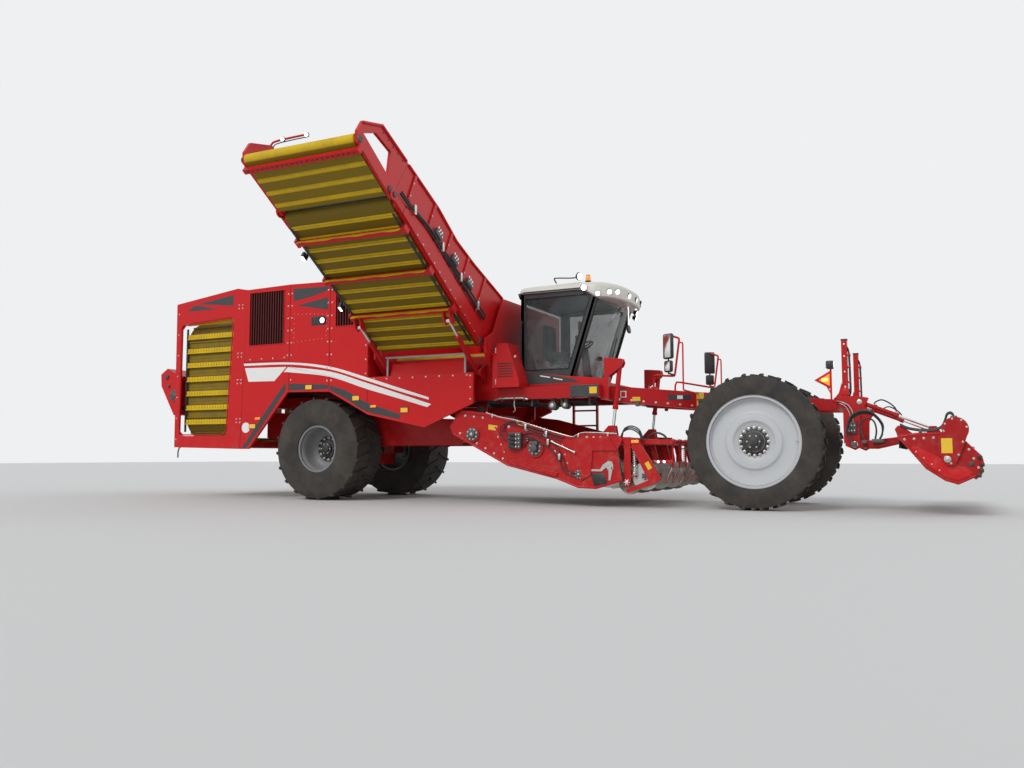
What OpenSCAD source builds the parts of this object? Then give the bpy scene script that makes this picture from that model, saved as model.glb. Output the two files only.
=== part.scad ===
// Self-propelled four-row potato harvester, in millimetres.
// Modules are written from a datum on the ground under the front axle,
// +X to the front, +Y to the machine's left, +Z up; placed() moves them
// so that the origin is under the middle of the whole machine.

/* [Running gear] */
// Distance between the front and rear axles
wheelbase = 7900; // [7600:20:8200]
// Radius of a front tyre over its lugs
front_wheel_r = 1028; // [980:1:1060]
// Width of a front tyre
front_tyre_w = 410; // [340:5:440]
// Middle of a front tyre from the centre line
front_track_half = 1205; // [1190:1:1300]
// Radius of a front rim at its flange
front_rim_r = 705; // [640:1:760]
// Radius of a rear tyre over its lugs
rear_wheel_r = 950; // [900:1:980]
// Width of a rear tyre
rear_tyre_w = 870; // [760:5:880]
// Middle of a rear tyre from the centre line
rear_track_half = 1262; // [1255:1:1300]
// Radius of a rear rim at its flange
rear_rim_r = 440; // [400:1:480]
// Width of a front rim
front_rim_w = 320; // [280:5:330]
// Width of a rear rim
rear_rim_w = 740; // [680:5:750]
// Height of a tyre lug
lug_h = 34; // [20:1:45]
// Thickness of a rim wall
rim_t = 16; // [10:1:24]
// Radius of an axle's end
axle_r = 70; // [60:1:80]
// Kingpin from the centre line
kingpin_y = 850; // [820:1:880]
// Length of a steering arm
steer_arm = 330; // [260:5:400]

/* [Frame] */
// Height of the frame's beams
beam_h = 200; // [160:5:240]
// Width of the frame's beams
beam_w = 180; // [140:5:190]
// Underside of the frame
frame_z = 1780; // [1760:1:1800]
// Outer side of the cab beams from the centre line
cab_beam_y = 1200; // [1150:5:1250]
// Outer side of the rear beams from the centre line
rear_beam_y = 780; // [760:1:785]
// Outer side of the neck over the front axle
neck_y = 430; // [380:5:450]
// Front end of the frame's neck
neck_front_x = 1130; // [1110:5:1180]
// Front end of the cab beams
cab_beam_front_x = -2330; // [-2360:5:-2320]
// Frame's cross member behind the cab
cross_x = -4900; // [-5000:10:-4850]
// Rear end of the frame
frame_rear_x = -9780; // [-9800:5:-9700]

/* [Body] */
// Half of the body's width
body_half = 1700; // [1690:1:1710]
// Thickness of a side panel or frame
panel_t = 60; // [50:1:70]
// Lowest edge of the body
body_z = 950; // [900:5:1000]
// Top of the body's sides
body_top_z = 4060; // [4000:5:4100]
// Rear end of the body
body_rear_x = -11480; // [-11600:5:-11400]
// Front edge of the rear elevator's frame
ring_frame_front_x = -9600; // [-9650:5:-9580]
// Room between the bunker and the tall side panels
tall_gap = 60; // [40:5:80]
// Front edge of the low side panels
low_front_x = -4580; // [-4600:5:-4560]
// Top of the low side panels
low_top_z = 2230; // [2200:5:2260]
// Rearmost point of the tail hood
tail_x = -12030; // [-12100:5:-11900]

/* [Bunker and discharge elevator] */
// Room for a bunker wall beside an elevator side board
board_room = 115; // [105:1:125]
// Front face of the bunker
bunker_front_x = -4390; // [-4400:1:-4370]
// Thickness of a bunker wall
bunker_t = 36; // [30:1:44]
// Top of the bunker's left wall
bunker_top_z = 3600; // [3500:10:3700]
// Width of the discharge belt
belt_w = 1940; // [1900:5:1960]
// Thickness of an elevator side board
board_t = 50; // [40:1:56]
// Angle of the elevator above level
elevator_deg = 34; // [30:1:38]
// Elevator's hinge from the centre line
hinge_y = -1480; // [-1500:1:-1460]
// Height of the elevator's hinge
hinge_z = 2695; // [2680:1:2720]
// Length from the hinge to the head's hinge
head_u = 3400; // [3300:10:3500]
// Length from the hinge to the end roller
tip_u = 4400; // [4300:10:4450]
// Radius of the belt's rollers over the belt
belt_r = 90; // [80:1:96]
// Thickness of a belt or web
belt_t = 16; // [10:1:20]

/* [Cab] */
// Half of the cab's width
cab_half = 950; // [920:1:960]
// Rear face of the cab
cab_rear_x = -4030; // [-4060:1:-4000]
// Floor of the cab
cab_z = 2040; // [2035:1:2045]
// Underside of the cab's roof
roof_z = 3640; // [3600:1:3680]
// Thickness of a cab wall
cab_t = 60; // [50:1:70]
// Thickness of the glass
glass_t = 12; // [8:1:16]

/* [Digging unit] */
// Digging unit's sides inside the body's sides
dig_inset = 100; // [90:5:130]
// Thickness of a side plate
dig_t = 30; // [20:1:40]
// Hinge of the digging unit, forward
dig_hinge_x = -4750; // [-4780:5:-4720]
// Hinge of the digging unit, height
dig_hinge_z = 1620; // [1600:5:1640]
// Distance between potato rows
row_pitch = 750; // [700:5:760]

/* [Topper] */
// Half of the topper's width
topper_half = 1600; // [1560:5:1620]
// Hinge of the topper, forward
topper_hinge_x = 1400; // [1390:1:1410]
// Hinge of the topper, height
topper_hinge_z = 980; // [960:1:1000]
// Masts from the centre line
mast_y = 1000; // [960:5:1040]
// Top of the masts
mast_top_z = 2530; // [2450:5:2600]
// Foremost point of the topper
nose_x = 3030; // [2980:5:3080]
// Radius of the hole for a tow pin
tow_pin_r = 25; // [20:1:30]

/* [Hidden] */
$fn = 48;
gap = 0.3;
pin_gap = 0.05;
rear_axle_x = -wheelbase;
frame_top_z = frame_z + beam_h;
board_in = belt_w / 2 + 10;
board_out = board_in + board_t;
bunker_len = 2 * (board_out + board_room);
belt_mid_x = bunker_front_x - bunker_len / 2;
bunker_rear_x = bunker_front_x - bunker_len;
tall_front_x = bunker_rear_x - tall_gap;
inner_y = body_half - panel_t;
dig_trim = 30;
dig_half = body_half - dig_inset;
head_r = belt_r - 8;
tip_y = hinge_y - tip_u * cos(elevator_deg) - head_r;
mid_x = (nose_x + tail_x) / 2;
mid_y = (tip_y + body_half) / 2;
hinge_pin_r = 50;
head_pin_r = 30;
cyl_pin_r = 25;

module placed() translate([-mid_x, -mid_y, 0]) children();
module both_sides() {
    children();
    mirror([0, 1, 0]) children();
}
// A profile in X and Z, from y0 over the thickness t
module across(y0, t) translate([0, y0 + t, 0]) rotate([90, 0, 0]) linear_extrude(t) children();
// A profile in Y and Z, from x0 over the length t
module along(x0, t) translate([x0, 0, 0]) rotate([90, 0, 90]) linear_extrude(t) children();
module box(lo, hi) translate(lo) cube(hi - lo);
module disc_y(x, z, r, y0, t, fn = 48) translate([x, y0, z]) rotate([-90, 0, 0]) cylinder(h = t, r = r, $fn = fn);
module disc_x(y, z, r, x0, t, fn = 48) translate([x0, y, z]) rotate([0, 90, 0]) cylinder(h = t, r = r, $fn = fn);
module rod(a, b, r, fn = 24) {
    v = b - a;
    translate(a) rotate([0, acos(v.z / norm(v)), atan2(v.y, v.x)]) cylinder(h = norm(v), r = r, $fn = fn);
}
// A closed web round two rollers, as an outline, with n flights of height fh
module web_2d(a, b, r, t) difference() {
    web_solid(a, b, r);
    web_solid(a, b, r - t);
}
module web_solid(a, b, r) {
    d = b - a;
    translate(a) rotate(atan2(d.y, d.x)) {
        circle(r);
        translate([norm(d), 0]) circle(r);
        translate([0, -r]) square([norm(d), 2 * r]);
    }
}
module web_flights(a, b, r, fh, fw, pitch) {
    d = b - a;
    n = floor((norm(d) - pitch / 2) / pitch);
    translate(a) rotate(atan2(d.y, d.x)) for (i = [0:n], s = [0, 1])
        translate([pitch / 4 + i * pitch, s ? -r - fh : r - 1]) square([fw, fh + 1]);
}

module main_frame() color("firebrick") difference() {
    union() {
        both_sides() {
            box([frame_rear_x, rear_beam_y - beam_w, frame_z], [cross_x, rear_beam_y, frame_top_z]);
            box([cross_x, cab_beam_y - beam_w, frame_z], [cab_beam_front_x, cab_beam_y, frame_top_z]);
            // Posts of the digging unit's lift cylinders
            box([cab_beam_front_x - 90, lift_y - 70, frame_top_z - 1], [cab_beam_front_x - 15, lift_y + 70, 2420]);
            for (s = [-1, 1]) across(lift_y + s * 58.5 - 11.5, 23) polygon([[cab_beam_front_x - 16, 2110], [cab_beam_front_x - 16, 2420],
                [dig_lift[0] + 50, 2400], [dig_lift[0] + 70, dig_lift[1]], [dig_lift[0] + 40, dig_lift[1] - 60]]);
            // Hangers of the digging unit
            box([dig_hinge_x - 90, 1000, dig_hinge_z - 90], [dig_hinge_x + 90, 1050, frame_z + 20]);
        }
        box([cross_x - beam_w, -cab_beam_y, frame_z], [cross_x, cab_beam_y, frame_top_z]);
        box([frame_rear_x, -rear_beam_y, frame_z], [frame_rear_x + beam_w, rear_beam_y, frame_top_z]);
        box([cab_beam_front_x - 140, -cab_beam_y, 1740], [cab_beam_front_x, cab_beam_y, frame_top_z]);
    }
    both_sides() {
        disc_y(dig_lift[0], dig_lift[1], cyl_pin_r + pin_gap, 1000, 300);
        disc_y(dig_hinge_x, dig_hinge_z, hinge_pin_r + pin_gap, 900, 400);
    }
}
// Beams that slope from the cab down to the masts, over the front axle
module neck() color("firebrick") difference() {
    union() {
        both_sides() intersection() {
            across(0, cab_beam_y) polygon(neck_profile);
            linear_extrude(frame_top_z + 100) polygon([
                [cab_beam_front_x, cab_beam_y - 340], [cab_beam_front_x, cab_beam_y - 160], [-1080, neck_y],
                [mast_x + 1, neck_y], [mast_x + 1, neck_y - beam_w], [-1080, neck_y - beam_w]]);
        }
        box([-1250, -neck_y, 1620], [-1050, neck_y, 1840]);
        // Pads for the mirrors' feet
        both_sides() box([mirror_foot.x - 60, mirror_foot.y - 50, 1850], [mirror_foot.x + 60, mirror_foot.y + 50, mirror_foot.z]);
        // Carrier of the front axle and of the masts
        box([-190, -neck_y, axle_top], [190, neck_y, 1740]);
        box([neck_front_x, -mast_y - 60, 1510], [mast_x + 20, mast_y + 60, 1670]);
        both_sides() mast();
    }
    both_sides() {
        disc_y(mast_lift[0], mast_lift[1], cyl_pin_r + pin_gap, mast_y - 200, 400);
        disc_y(topper_hinge_x, topper_hinge_z, hinge_pin_r + pin_gap, mast_y - 200, 400);
    }
}
module tow_jaw() color("firebrick") difference() {
    union() {
        box([mast_x + 20, -90, tow_z - 75], [mast_x + 50, 90, tow_z + 75]);
        for (s = [-1, 1]) translate([0, 0, tow_z + s * 55 - 15]) linear_extrude(30) {
            translate([mast_x + 49, -80]) square([tow_x - mast_x - 49, 160]);
            translate([tow_x, 0]) circle(80);
        }
    }
    translate([tow_x, 0, 0]) cylinder(h = 3000, r = tow_pin_r);
}
// Pivots of the cylinders: [x or y, z] of the base, then of the rod's eye
mast_lift = [1480, 1600];
hood_eye = [2440, 1205];
dig_lift = [-2160, 2330];
dig_eye = [-2290, 1250];
lift_y = 1105;
elevator_base = [-1400, 2250];
elevator_eye_u = 940;
elevator_eye_w = -230;
axle_top = 1480;
mast_x = neck_front_x + 120;
tow_x = mast_x + 150;
tow_z = 1590;
neck_profile = [[cab_beam_front_x - 150, 1720], [cab_beam_front_x - 150, frame_top_z], [-860, 1850],
    [mast_x + 1, 1670], [mast_x + 1, 1510], [-900, 1570]];
module mast() {
    box([mast_x, mast_y - 45, topper_hinge_z + 20], [mast_x + 80, mast_y + 45, mast_top_z]);
    // Pair of plates that hold the lift cylinder above and the topper's hinge below
    for (s = [-1, 1]) across(mast_y + s * 50 - 10, 20) polygon([
        [mast_x - 20, 1690], [mast_x + 180, 1690], [mast_lift[0] + 120, 1660], [mast_lift[0] + 70, 1530],
        [mast_lift[0] - 10, 1380], [topper_hinge_x + 60, topper_hinge_z + 70], [topper_hinge_x + 70, topper_hinge_z - 40],
        [topper_hinge_x, topper_hinge_z - 80], [mast_x + 20, topper_hinge_z - 20], [mast_x + 10, 1350]]);
}

module front_axle() color("firebrick") difference() {
    union() {
        box([-130, -kingpin_y + 150, front_wheel_r - 130], [130, kingpin_y - 150, front_wheel_r + 130]);
        box([-180, -neck_y + 60, front_wheel_r + 120], [180, neck_y - 60, axle_top]);
        both_sides() for (z = [-1, 1])
            box([-100, kingpin_y - 160, front_wheel_r + z * 190 - 45], [100, kingpin_y + 90, front_wheel_r + z * 190 + 45]);
        both_sides() box([-100, kingpin_y - 200, front_wheel_r - 235], [100, kingpin_y - 145, front_wheel_r + 235]);
    }
    both_sides() translate([0, kingpin_y, 0]) cylinder(h = 3000, r = 45 + pin_gap);
}
// Turning part of the left front corner
arm_z = front_wheel_r - 283;
module knuckle() {
    translate([0, kingpin_y, arm_z]) cylinder(h = 283 + 240, r = 45);
    translate([0, kingpin_y, front_wheel_r - 139]) cylinder(h = 278, r = 90);
    disc_y(0, front_wheel_r, axle_r, kingpin_y, front_track_half - kingpin_y + 60);
    difference() {
        union() {
            box([-steer_arm, kingpin_y - 45, arm_z], [0, kingpin_y + 45, arm_z + 40]);
            translate([-steer_arm, kingpin_y, arm_z]) cylinder(h = 40, r = 50);
            translate([0, kingpin_y, arm_z]) cylinder(h = 40, r = 80);
        }
        translate([-steer_arm, kingpin_y, 0]) cylinder(h = 3000, r = 20 + pin_gap);
    }
}
module knuckle_left() color("dimgray") knuckle();
module knuckle_right() color("dimgray") mirror([0, 1, 0]) knuckle();
module tie_rod() color("dimgray") {
    rod([-steer_arm, -kingpin_y, arm_z - 34], [-steer_arm, kingpin_y, arm_z - 34], 24);
    both_sides() translate([-steer_arm, kingpin_y, arm_z - 62]) cylinder(h = 62 - gap, r = 40);
    both_sides() translate([-steer_arm, kingpin_y, arm_z - 40]) cylinder(h = 90, r = 20);
}

// Tyre standing in X and Z round the origin, middle at y = 0, on a rim of width rw
module tyre(r, w, rim_r, rw, lugs) {
    rc = r - lug_h;
    seat = rim_r - 26;
    mid = (rc + seat) / 2;
    rs = (rc - seat) * 1.2;
    half = sqrt(rs * rs - pow(rc - mid, 2)) - rs + w / 2;
    rotate([90, 0, 0]) {
        rotate_extrude($fn = 96) difference() {
            intersection() {
                translate([seat, -w / 2]) square([rc - seat, w]);
                for_both() translate([mid, w / 2 - rs]) circle(rs, $fn = 96);
            }
            for_both_add() translate([seat - 1, rw / 2 - rim_t]) square([27 + gap, w]);
        }
        intersection() {
            for (s = [0, 1], i = [0:lugs - 1]) rotate([0, 0, 90 + (i + s / 2) * 360 / lugs]) lug(rc, half + 12, s);
            translate([0, 0, -w / 2]) cylinder(h = w, r = r, $fn = 96);
        }
    }
}
module for_both() intersection() {
    children();
    mirror([0, 1]) children();
}
module for_both_add() {
    children();
    mirror([0, 1]) children();
}
module lug(rc, half, s) {
    w = 44;
    lean = half * 0.35;
    translate([rc - 8, 0, 0]) mirror([0, 0, s]) rotate([90, 0, 90]) linear_extrude(lug_h + 30) polygon([
        [-w / 2 + lean / 2, -1], [w / 2 + lean / 2, -1], [w / 2 - lean / 2, half], [-w / 2 - lean / 2, half]]);
}
// Rim of width w with its disc at dish, as one profile
hub_r = 160;
module rim(rim_r, w, dish) {
    seat = rim_r - 26;
    in = seat - rim_t;
    rotate([90, 0, 0]) rotate_extrude($fn = 96) polygon([
        [axle_r + pin_gap, dish - 60], [hub_r, dish - 60], [hub_r, dish], [in, dish],
        [in, -w / 2], [rim_r, -w / 2], [rim_r, -w / 2 + rim_t], [seat, -w / 2 + rim_t],
        [seat, w / 2 - rim_t], [rim_r, w / 2 - rim_t], [rim_r, w / 2], [in, w / 2],
        [in, dish + rim_t], [hub_r, dish + rim_t], [hub_r, dish + 60 + rim_t], [axle_r + pin_gap, dish + 60 + rim_t]]);
}
module front_rim_left() color("silver") translate([0, front_track_half, front_wheel_r]) rim(front_rim_r, front_rim_w, -40);
module front_rim_right() color("silver") mirror([0, 1, 0]) front_rim_left();
module rear_rim_left() color("silver") translate([rear_axle_x, rear_track_half, rear_wheel_r]) rim(rear_rim_r, rear_rim_w, 0);
module rear_rim_right() color("silver") mirror([0, 1, 0]) rear_rim_left();
module front_tyre_left() color("dimgray") translate([0, front_track_half, front_wheel_r]) tyre(front_wheel_r, front_tyre_w, front_rim_r, front_rim_w, 24);
module front_tyre_right() color("dimgray") mirror([0, 1, 0]) front_tyre_left();
module rear_tyre_left() color("dimgray") translate([rear_axle_x, rear_track_half, rear_wheel_r]) tyre(rear_wheel_r, rear_tyre_w, rear_rim_r, rear_rim_w, 20);
module rear_tyre_right() color("dimgray") mirror([0, 1, 0]) rear_tyre_left();

module rear_axle() color("firebrick") {
    box([rear_axle_x - 120, -channel_out - 10, rear_wheel_r - 300], [rear_axle_x + 120, channel_out + 10, rear_wheel_r - 90]);
    both_sides() {
        box([rear_axle_x - 120, channel_out + 1, rear_wheel_r - 300], [rear_axle_x + 120, rear_beam_y + 20, frame_z]);
        disc_y(rear_axle_x, rear_wheel_r, axle_r, rear_beam_y, rear_track_half - rear_beam_y + 80);
    }
}

side_outline = [
    [ring_frame_front_x + gap, body_top_z], [-8550, body_top_z + 20], [-7630, body_top_z],
    [tall_front_x, body_top_z - 60], [tall_front_x, low_top_z], [low_front_x, low_top_z],
    [low_front_x, 1710], [-5540, 1320], [-6720, 1570], [-7580, 2010], [-8560, 2030],
    [-9510, body_z], [ring_frame_front_x - 110, body_z]];
grille_c = [[-9540, 2950], [-8680, 3990]];
grille_e = [[tall_front_x - 730, 3200], [tall_front_x - 120, 3900]];
module side_panel() difference() {
    across(body_half - panel_t, panel_t) polygon(side_outline);
    for (g = [grille_c, grille_e]) box([g[0][0], 0, g[0][1]], [g[1][0], 3000, g[1][1]]);
    // Joints between the panels, as grooves
    for (x = [-8540, -7600, tall_front_x]) box([x - seam, body_half - 12, body_z], [x + seam, 3000, body_top_z + 100]);
    box([-9700, body_half - 12, 2630 - seam], [-8540, 3000, 2630 + seam]);
}
seam = 6;
module side_panel_left() color("firebrick") side_panel();
module side_panel_right() color("firebrick") mirror([0, 1, 0]) side_panel();
module grilles() color("maroon") both_sides() for (g = [grille_c, grille_e]) {
    box([g[0][0], body_half - panel_t + 8, g[0][1]], [g[1][0], body_half - panel_t + 14, g[1][1]]);
    for (x = [g[0][0] + 30:60:g[1][0] - 20])
        box([x, body_half - panel_t + 10, g[0][1]], [x + 22, body_half - 4, g[1][1]]);
}
module body_inner() color("firebrick") {
    in = body_half - panel_t;
    box([tall_front_x - 30, -in, frame_top_z], [tall_front_x, in, body_top_z - 80]);
    box([frame_rear_x, -in, frame_top_z], [frame_rear_x + 30, in, body_top_z - 80]);
    box([frame_rear_x, -in, body_top_z - 110], [tall_front_x, in, body_top_z - 80]);
    box([-7880, -in, 2050], [tall_front_x, in, 2075]);
    both_sides() box([-8600, rear_beam_y + 10, 2050], [-7870, in, 2075]);
}
module engine() color("dimgray") box([-9400, -700, frame_top_z], [-7900, 700, 3300]);

module ring_frame() color("firebrick") {
    both_sides() difference() {
        across(body_half - panel_t, panel_t) polygon([
            [body_rear_x, body_top_z - 150], [-9860, body_top_z + 50], [ring_frame_front_x, body_top_z],
            [ring_frame_front_x - 120, body_z], [body_rear_x + 30, body_z + 40]]);
        across(body_half - 100, 200) offset(120) offset(-120)
            polygon([[-11350, 1220], [-11350, 3480], [-9930, 3560], [-10060, 1200]]);
    }
    box([body_rear_x, -body_half + 60, 3700], [body_rear_x + 120, body_half - 60, 3880]);
    box([-9900, -body_half + 60, 3760], [frame_rear_x, body_half - 60, 3900]);
    box([body_rear_x + 30, -body_half + 60, body_z + 40], [body_rear_x + 150, body_half - 60, 1110]);
    box([-9900, -body_half + 60, body_z + 30], [frame_rear_x, body_half - 60, 1110]);
    for (y = [-800, 800]) disc_x(y, 1060, 60, body_rear_x + 149, 1480);
    for (z = [1650, 2340]) box([body_rear_x, -body_half + panel_t, z], [body_rear_x + 90, body_half - panel_t, z + 100]);
}
ring_half = inner_y - 70;
ring_lo = 1120 + gap;
ring_hi = 3600;
ring_r = 520;
ring_bar = 14;
module ring_elevator() color("goldenrod") along(body_rear_x + 180, 1330) {
    difference() {
        ring_2d(ring_bar + 10);
        ring_2d(ring_bar + 45);
    }
    h = ring_hi - ring_lo - 2 * ring_r;
    l = 2 * (ring_half - ring_r);
    for (a = [0, 180]) {
        ring_bars(a, ring_half, h);
        ring_bars(a + 90, (ring_hi - ring_lo) / 2, l);
    }
    // Flights round the corners
    for (y = [-1, 1], z = [-1, 1], k = [0:4])
        translate([y * (ring_half - ring_r), (ring_lo + ring_hi) / 2 + z * h / 2])
            rotate(atan2(z, y) + (k - 2) * 20) ring_bar(k % 2 == 0);
}
module ring_2d(inset) {
    box_2d(ring_half - ring_r, ring_lo + inset, ring_hi - inset);
    box_2d(ring_half - inset, ring_lo + ring_r, ring_hi - ring_r);
    for (y = [-1, 1], z = [ring_lo + ring_r, ring_hi - ring_r]) translate([y * (ring_half - ring_r), z]) circle(ring_r - inset);
}
module box_2d(half, lo, hi) translate([-half, lo]) square([2 * half, hi - lo]);
// Bars along one straight run, every fourth of them a tall flight
module ring_bars(a, out, len) {
    n = floor(len / 72);
    translate([0, (ring_lo + ring_hi) / 2]) rotate(a) translate([out - ring_r, 0])
        for (i = [0:n - 1]) translate([0, (i - (n - 1) / 2) * 72]) ring_bar(i % 4 == 1);
}
module ring_bar(tall) translate([ring_r - ring_bar - 12, tall ? -14 : -6]) square(tall ? [ring_bar + 12, 28] : [8, 12]);

module tail_hood() color("firebrick") across(-1560, 3120) polygon([
    [body_rear_x - 0, 1650], [body_rear_x - 160, 1650], [tail_x + 20, 2260], [tail_x, 2500],
    [tail_x + 180, 2620], [body_rear_x, 2440]]);

channel_out = 760;
module web_channel() color("firebrick") both_sides() {
    across(channel_out - 25, 25) polygon([
        [-5300, 1010], [-5300, 1480], [-9860, 1700], [-9860, 1180], [-8400, 1010]]);
    for (x = [-6200, -9200]) box([x - 60, channel_out - 25, 1400], [x + 60, channel_out, frame_z]);
}
module sieving_web() color("goldenrod") {
    a = [-5450, 1190];
    b = [-9640, 1450];
    w = channel_out - 25 - 8;
    across(-w, 2 * w) {
        web_2d(a, b, 110, belt_t);
        web_flights(a, b, 110, 18, 15, 184);
    }
    for (p = [a, b]) {
        disc_y(p[0], p[1], 40, -w - 8, 2 * w + 16);
        disc_y(p[0], p[1], 103, -w + 20, 2 * w - 40);
    }
}

module bunker() color("firebrick") difference() {
    union() {
        for (x = [bunker_rear_x, bunker_front_x - bunker_t]) along(x, bunker_t) polygon([
            [-1170, frame_top_z], [inner_y, frame_top_z], [inner_y, bunker_top_z], [-900, bunker_top_z],
            [-1300, 2950], [-1600, 2820], [-1600, 2560], [-1300, 2300]]);
        box([bunker_rear_x, inner_y - bunker_t, frame_top_z], [bunker_front_x, inner_y, bunker_top_z]);
        box([bunker_rear_x, -1170, frame_top_z], [bunker_front_x, -1134, 2560]);
        box([bunker_rear_x, -1170, frame_top_z], [bunker_front_x, inner_y, frame_top_z + 20]);
        along(belt_mid_x - 760, 1520) polygon([[-1160, 2200], [-1160, 2250], [-1500, 2460], [-1560, 2460],
            [-body_half + panel_t + gap, 2225], [-body_half + panel_t + gap, 2140], [-1600, 2140], [-1540, 2400], [-1480, 2400]]);
        for (x = cyl_xs, s = [-1, 1]) along(x + s * 60 - 12, 24) polygon([
            [-1160, 2080], [-1160, 2420], [-1400, 2310], [-1460, 2250], [-1400, 2190]]);
    }
    disc_x(hinge_y, hinge_z, hinge_pin_r + pin_gap, bunker_rear_x - 50, bunker_len + 100);
    disc_x(elevator_base[0], elevator_base[1], cyl_pin_r + pin_gap, bunker_rear_x - 50, bunker_len + 100);
}
cyl_xs = [belt_mid_x - 880, belt_mid_x + 880];
module bunker_floor() color("goldenrod") {
    a = [-850, 2560];
    b = [inner_y - 220, 2180];
    w = bunker_len / 2 - bunker_t;
    along(belt_mid_x - w + 8, 2 * w - 16) {
        web_2d(a, b, 90, belt_t);
        web_flights(a, b, 90, 18, 14, 180);
    }
    for (p = [a, b]) disc_x(p[0], p[1], 40, belt_mid_x - w, 2 * w);
    for (p = [a, b]) disc_x(p[0], p[1], 92 - belt_t, belt_mid_x - w + 8, 2 * w - 16);
}
rail_z = 2560;
module handrails() color("gray") {
    y = -body_half + 25;
    ends = [cyl_xs[0] + 90, cyl_xs[1] - 90];
    rod([ends[0] - 40, y, rail_z], [ends[1] + 40, y, rail_z], 18);
    for (x = ends) rod([x, y, low_top_z], [x, y, rail_z], 18);
}

// Places on the elevator: u outward along the belt, w square to it
module on_elevator() translate([belt_mid_x, hinge_y, hinge_z]) rotate([-elevator_deg, 0, 0]) children();
cross_us = [elevator_eye_u + 160, 1980, head_u - 550];
rib_us = [520, 1150, 1780, 2400, head_u - 350];
// Top edge of a side board at u, between the kinks of its outline
function board_top(u) = u < 1050 ? 960 + (1050 - u) * 0.243 : u < 1700 ? 960 - (u - 1050) * 0.185 :
    u < 2400 ? 840 : 840 - (u - 2400) * 0.125;
module board_trim(us, edge) {
    // Lower beam, ribs and the pipe along the top edge, all outside the board
    for (u = us) along(board_out - 1, 26) mirror([1, 0]) polygon([[u, 240], [u + 60, 240],
        [u + 130, board_top(u + 130) - 20], [u + 70, board_top(u + 70) - 20]]);
    for (i = [0:len(edge) - 2]) rod([board_out + 8, -edge[i].x, edge[i].y], [board_out + 8, -edge[i + 1].x, edge[i + 1].y], 22);
    for (p = edge) translate([board_out + 8, -p.x, p.y]) sphere(r = 22.5, $fn = 24);
}
module elevator_frame() color("firebrick") on_elevator() {
    for (s = [-1, 1]) mirror([s > 0 ? 0 : 1, 0, 0]) difference() {
        union() {
            along(board_in, board_t) difference() {
                mirror([1, 0]) union() {
                    polygon([[-180, 90], [120, -70], [head_u - 130, -70], [head_u - 5, 76], [head_u - 5, 715], [2400, 840],
                        [1700, 840], [1050, 960], [-60, 1230], [-420, 1000]]);
                    circle(110);
                }
                translate([-head_u, 0]) circle(76);
            }
            disc_x(-head_u, 0, 95, board_out + 6, 24);
            along(board_out - 1, 31) mirror([1, 0]) translate([head_u - 300, -60]) square([200, 120]);
            along(board_out - 1, 30) mirror([1, 0]) polygon([[230, -50], [head_u - 310, -50], [head_u - 310, 60], [2800, 240], [300, 240]]);
            board_trim(rib_us, [[-300, 1040], [-60, 1190], [1050, 930], [1700, 815], [2400, 815], [head_u - 40, 695]]);
            along(board_out + 6, 24) mirror([1, 0]) translate([head_u - 101, -60]) square([101, 120]);
            disc_x(0, 0, hinge_pin_r, board_out - 1, 12 + bunker_len / 2 - board_out);
        }
        disc_x(-head_u, 0, head_pin_r + pin_gap, board_out - 60, 200);
    }
    for (u = cross_us) {
        box([-board_out + 10, -u - 45, -172], [board_out - 10, -u + 45, -126]);
        for (s = [-1, 1]) mirror([s > 0 ? 0 : 1, 0, 0]) box([board_in, -u - 70, -172], [board_out, -u + 70, -60]);
    }
    for (x = cyl_xs, s = [-1, 1]) translate([x - belt_mid_x + s * 60 - 12, 0, 0]) along(0, 24) polygon([
        [-elevator_eye_u - 190, -170], [-elevator_eye_u - 60, -290], [-elevator_eye_u + 60, -290],
        [-elevator_eye_u + 70, -220], [-elevator_eye_u - 130, -130], [-elevator_eye_u - 190, -130]]);
}
module elevator_belt() color("goldenrod") on_elevator() {
    a = [-150, 0];
    b = [-head_u + 130, 0];
    along(-belt_w / 2, belt_w) {
        web_2d(a, b, belt_r, belt_t);
        web_flights(a, b, belt_r, 30, 40, 240);
    }
    for (p = [a, b]) disc_x(p[0], p[1], 35, -board_in, 2 * board_in);
    for (p = [a, b]) disc_x(p[0], p[1], belt_r - belt_t + 2, -belt_w / 2, belt_w);
}
module elevator_head() color("firebrick") on_elevator() {
    for (s = [-1, 1]) mirror([s > 0 ? 0 : 1, 0, 0]) {
        along(board_in, board_t) mirror([1, 0]) {
            difference() {
                polygon([[head_u, -70], [head_u, 712], [tip_u - 220, 620], [tip_u + 100, 275], [tip_u + 100, 60], [tip_u, -70]]);
                polygon([[head_u + 240, 130], [head_u + 400, 480], [tip_u - 200, 390], [tip_u - 10, 140]]);
            }
            translate([head_u, 0]) circle(70);
        }
        board_trim([], [[head_u + 60, 690], [tip_u - 235, 600], [tip_u + 70, 270]]);
        disc_x(-head_u, 0, head_pin_r, board_in + 1, board_t + 29);
    }
    box([-board_out + 10, -tip_u + 55, -160], [board_out - 10, -tip_u + 135, -100]);
    for (s = [-1, 1]) mirror([s > 0 ? 0 : 1, 0, 0]) box([board_in, -tip_u + 55, -160], [board_out, -tip_u + 135, -60]);
}
module head_belt() color("goldenrod") on_elevator() {
    a = [-head_u - 100, 0];
    b = [-tip_u, 0];
    along(-belt_w / 2, belt_w) {
        web_2d(a, b, head_r, belt_t);
        web_flights(a, b, head_r, 14, 40, 240);
    }
    for (p = [a, b]) disc_x(p[0], p[1], 35, -board_in, 2 * board_in);
    for (p = [a, b]) disc_x(p[0], p[1], head_r - belt_t + 2, -belt_w / 2, belt_w);
}
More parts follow.
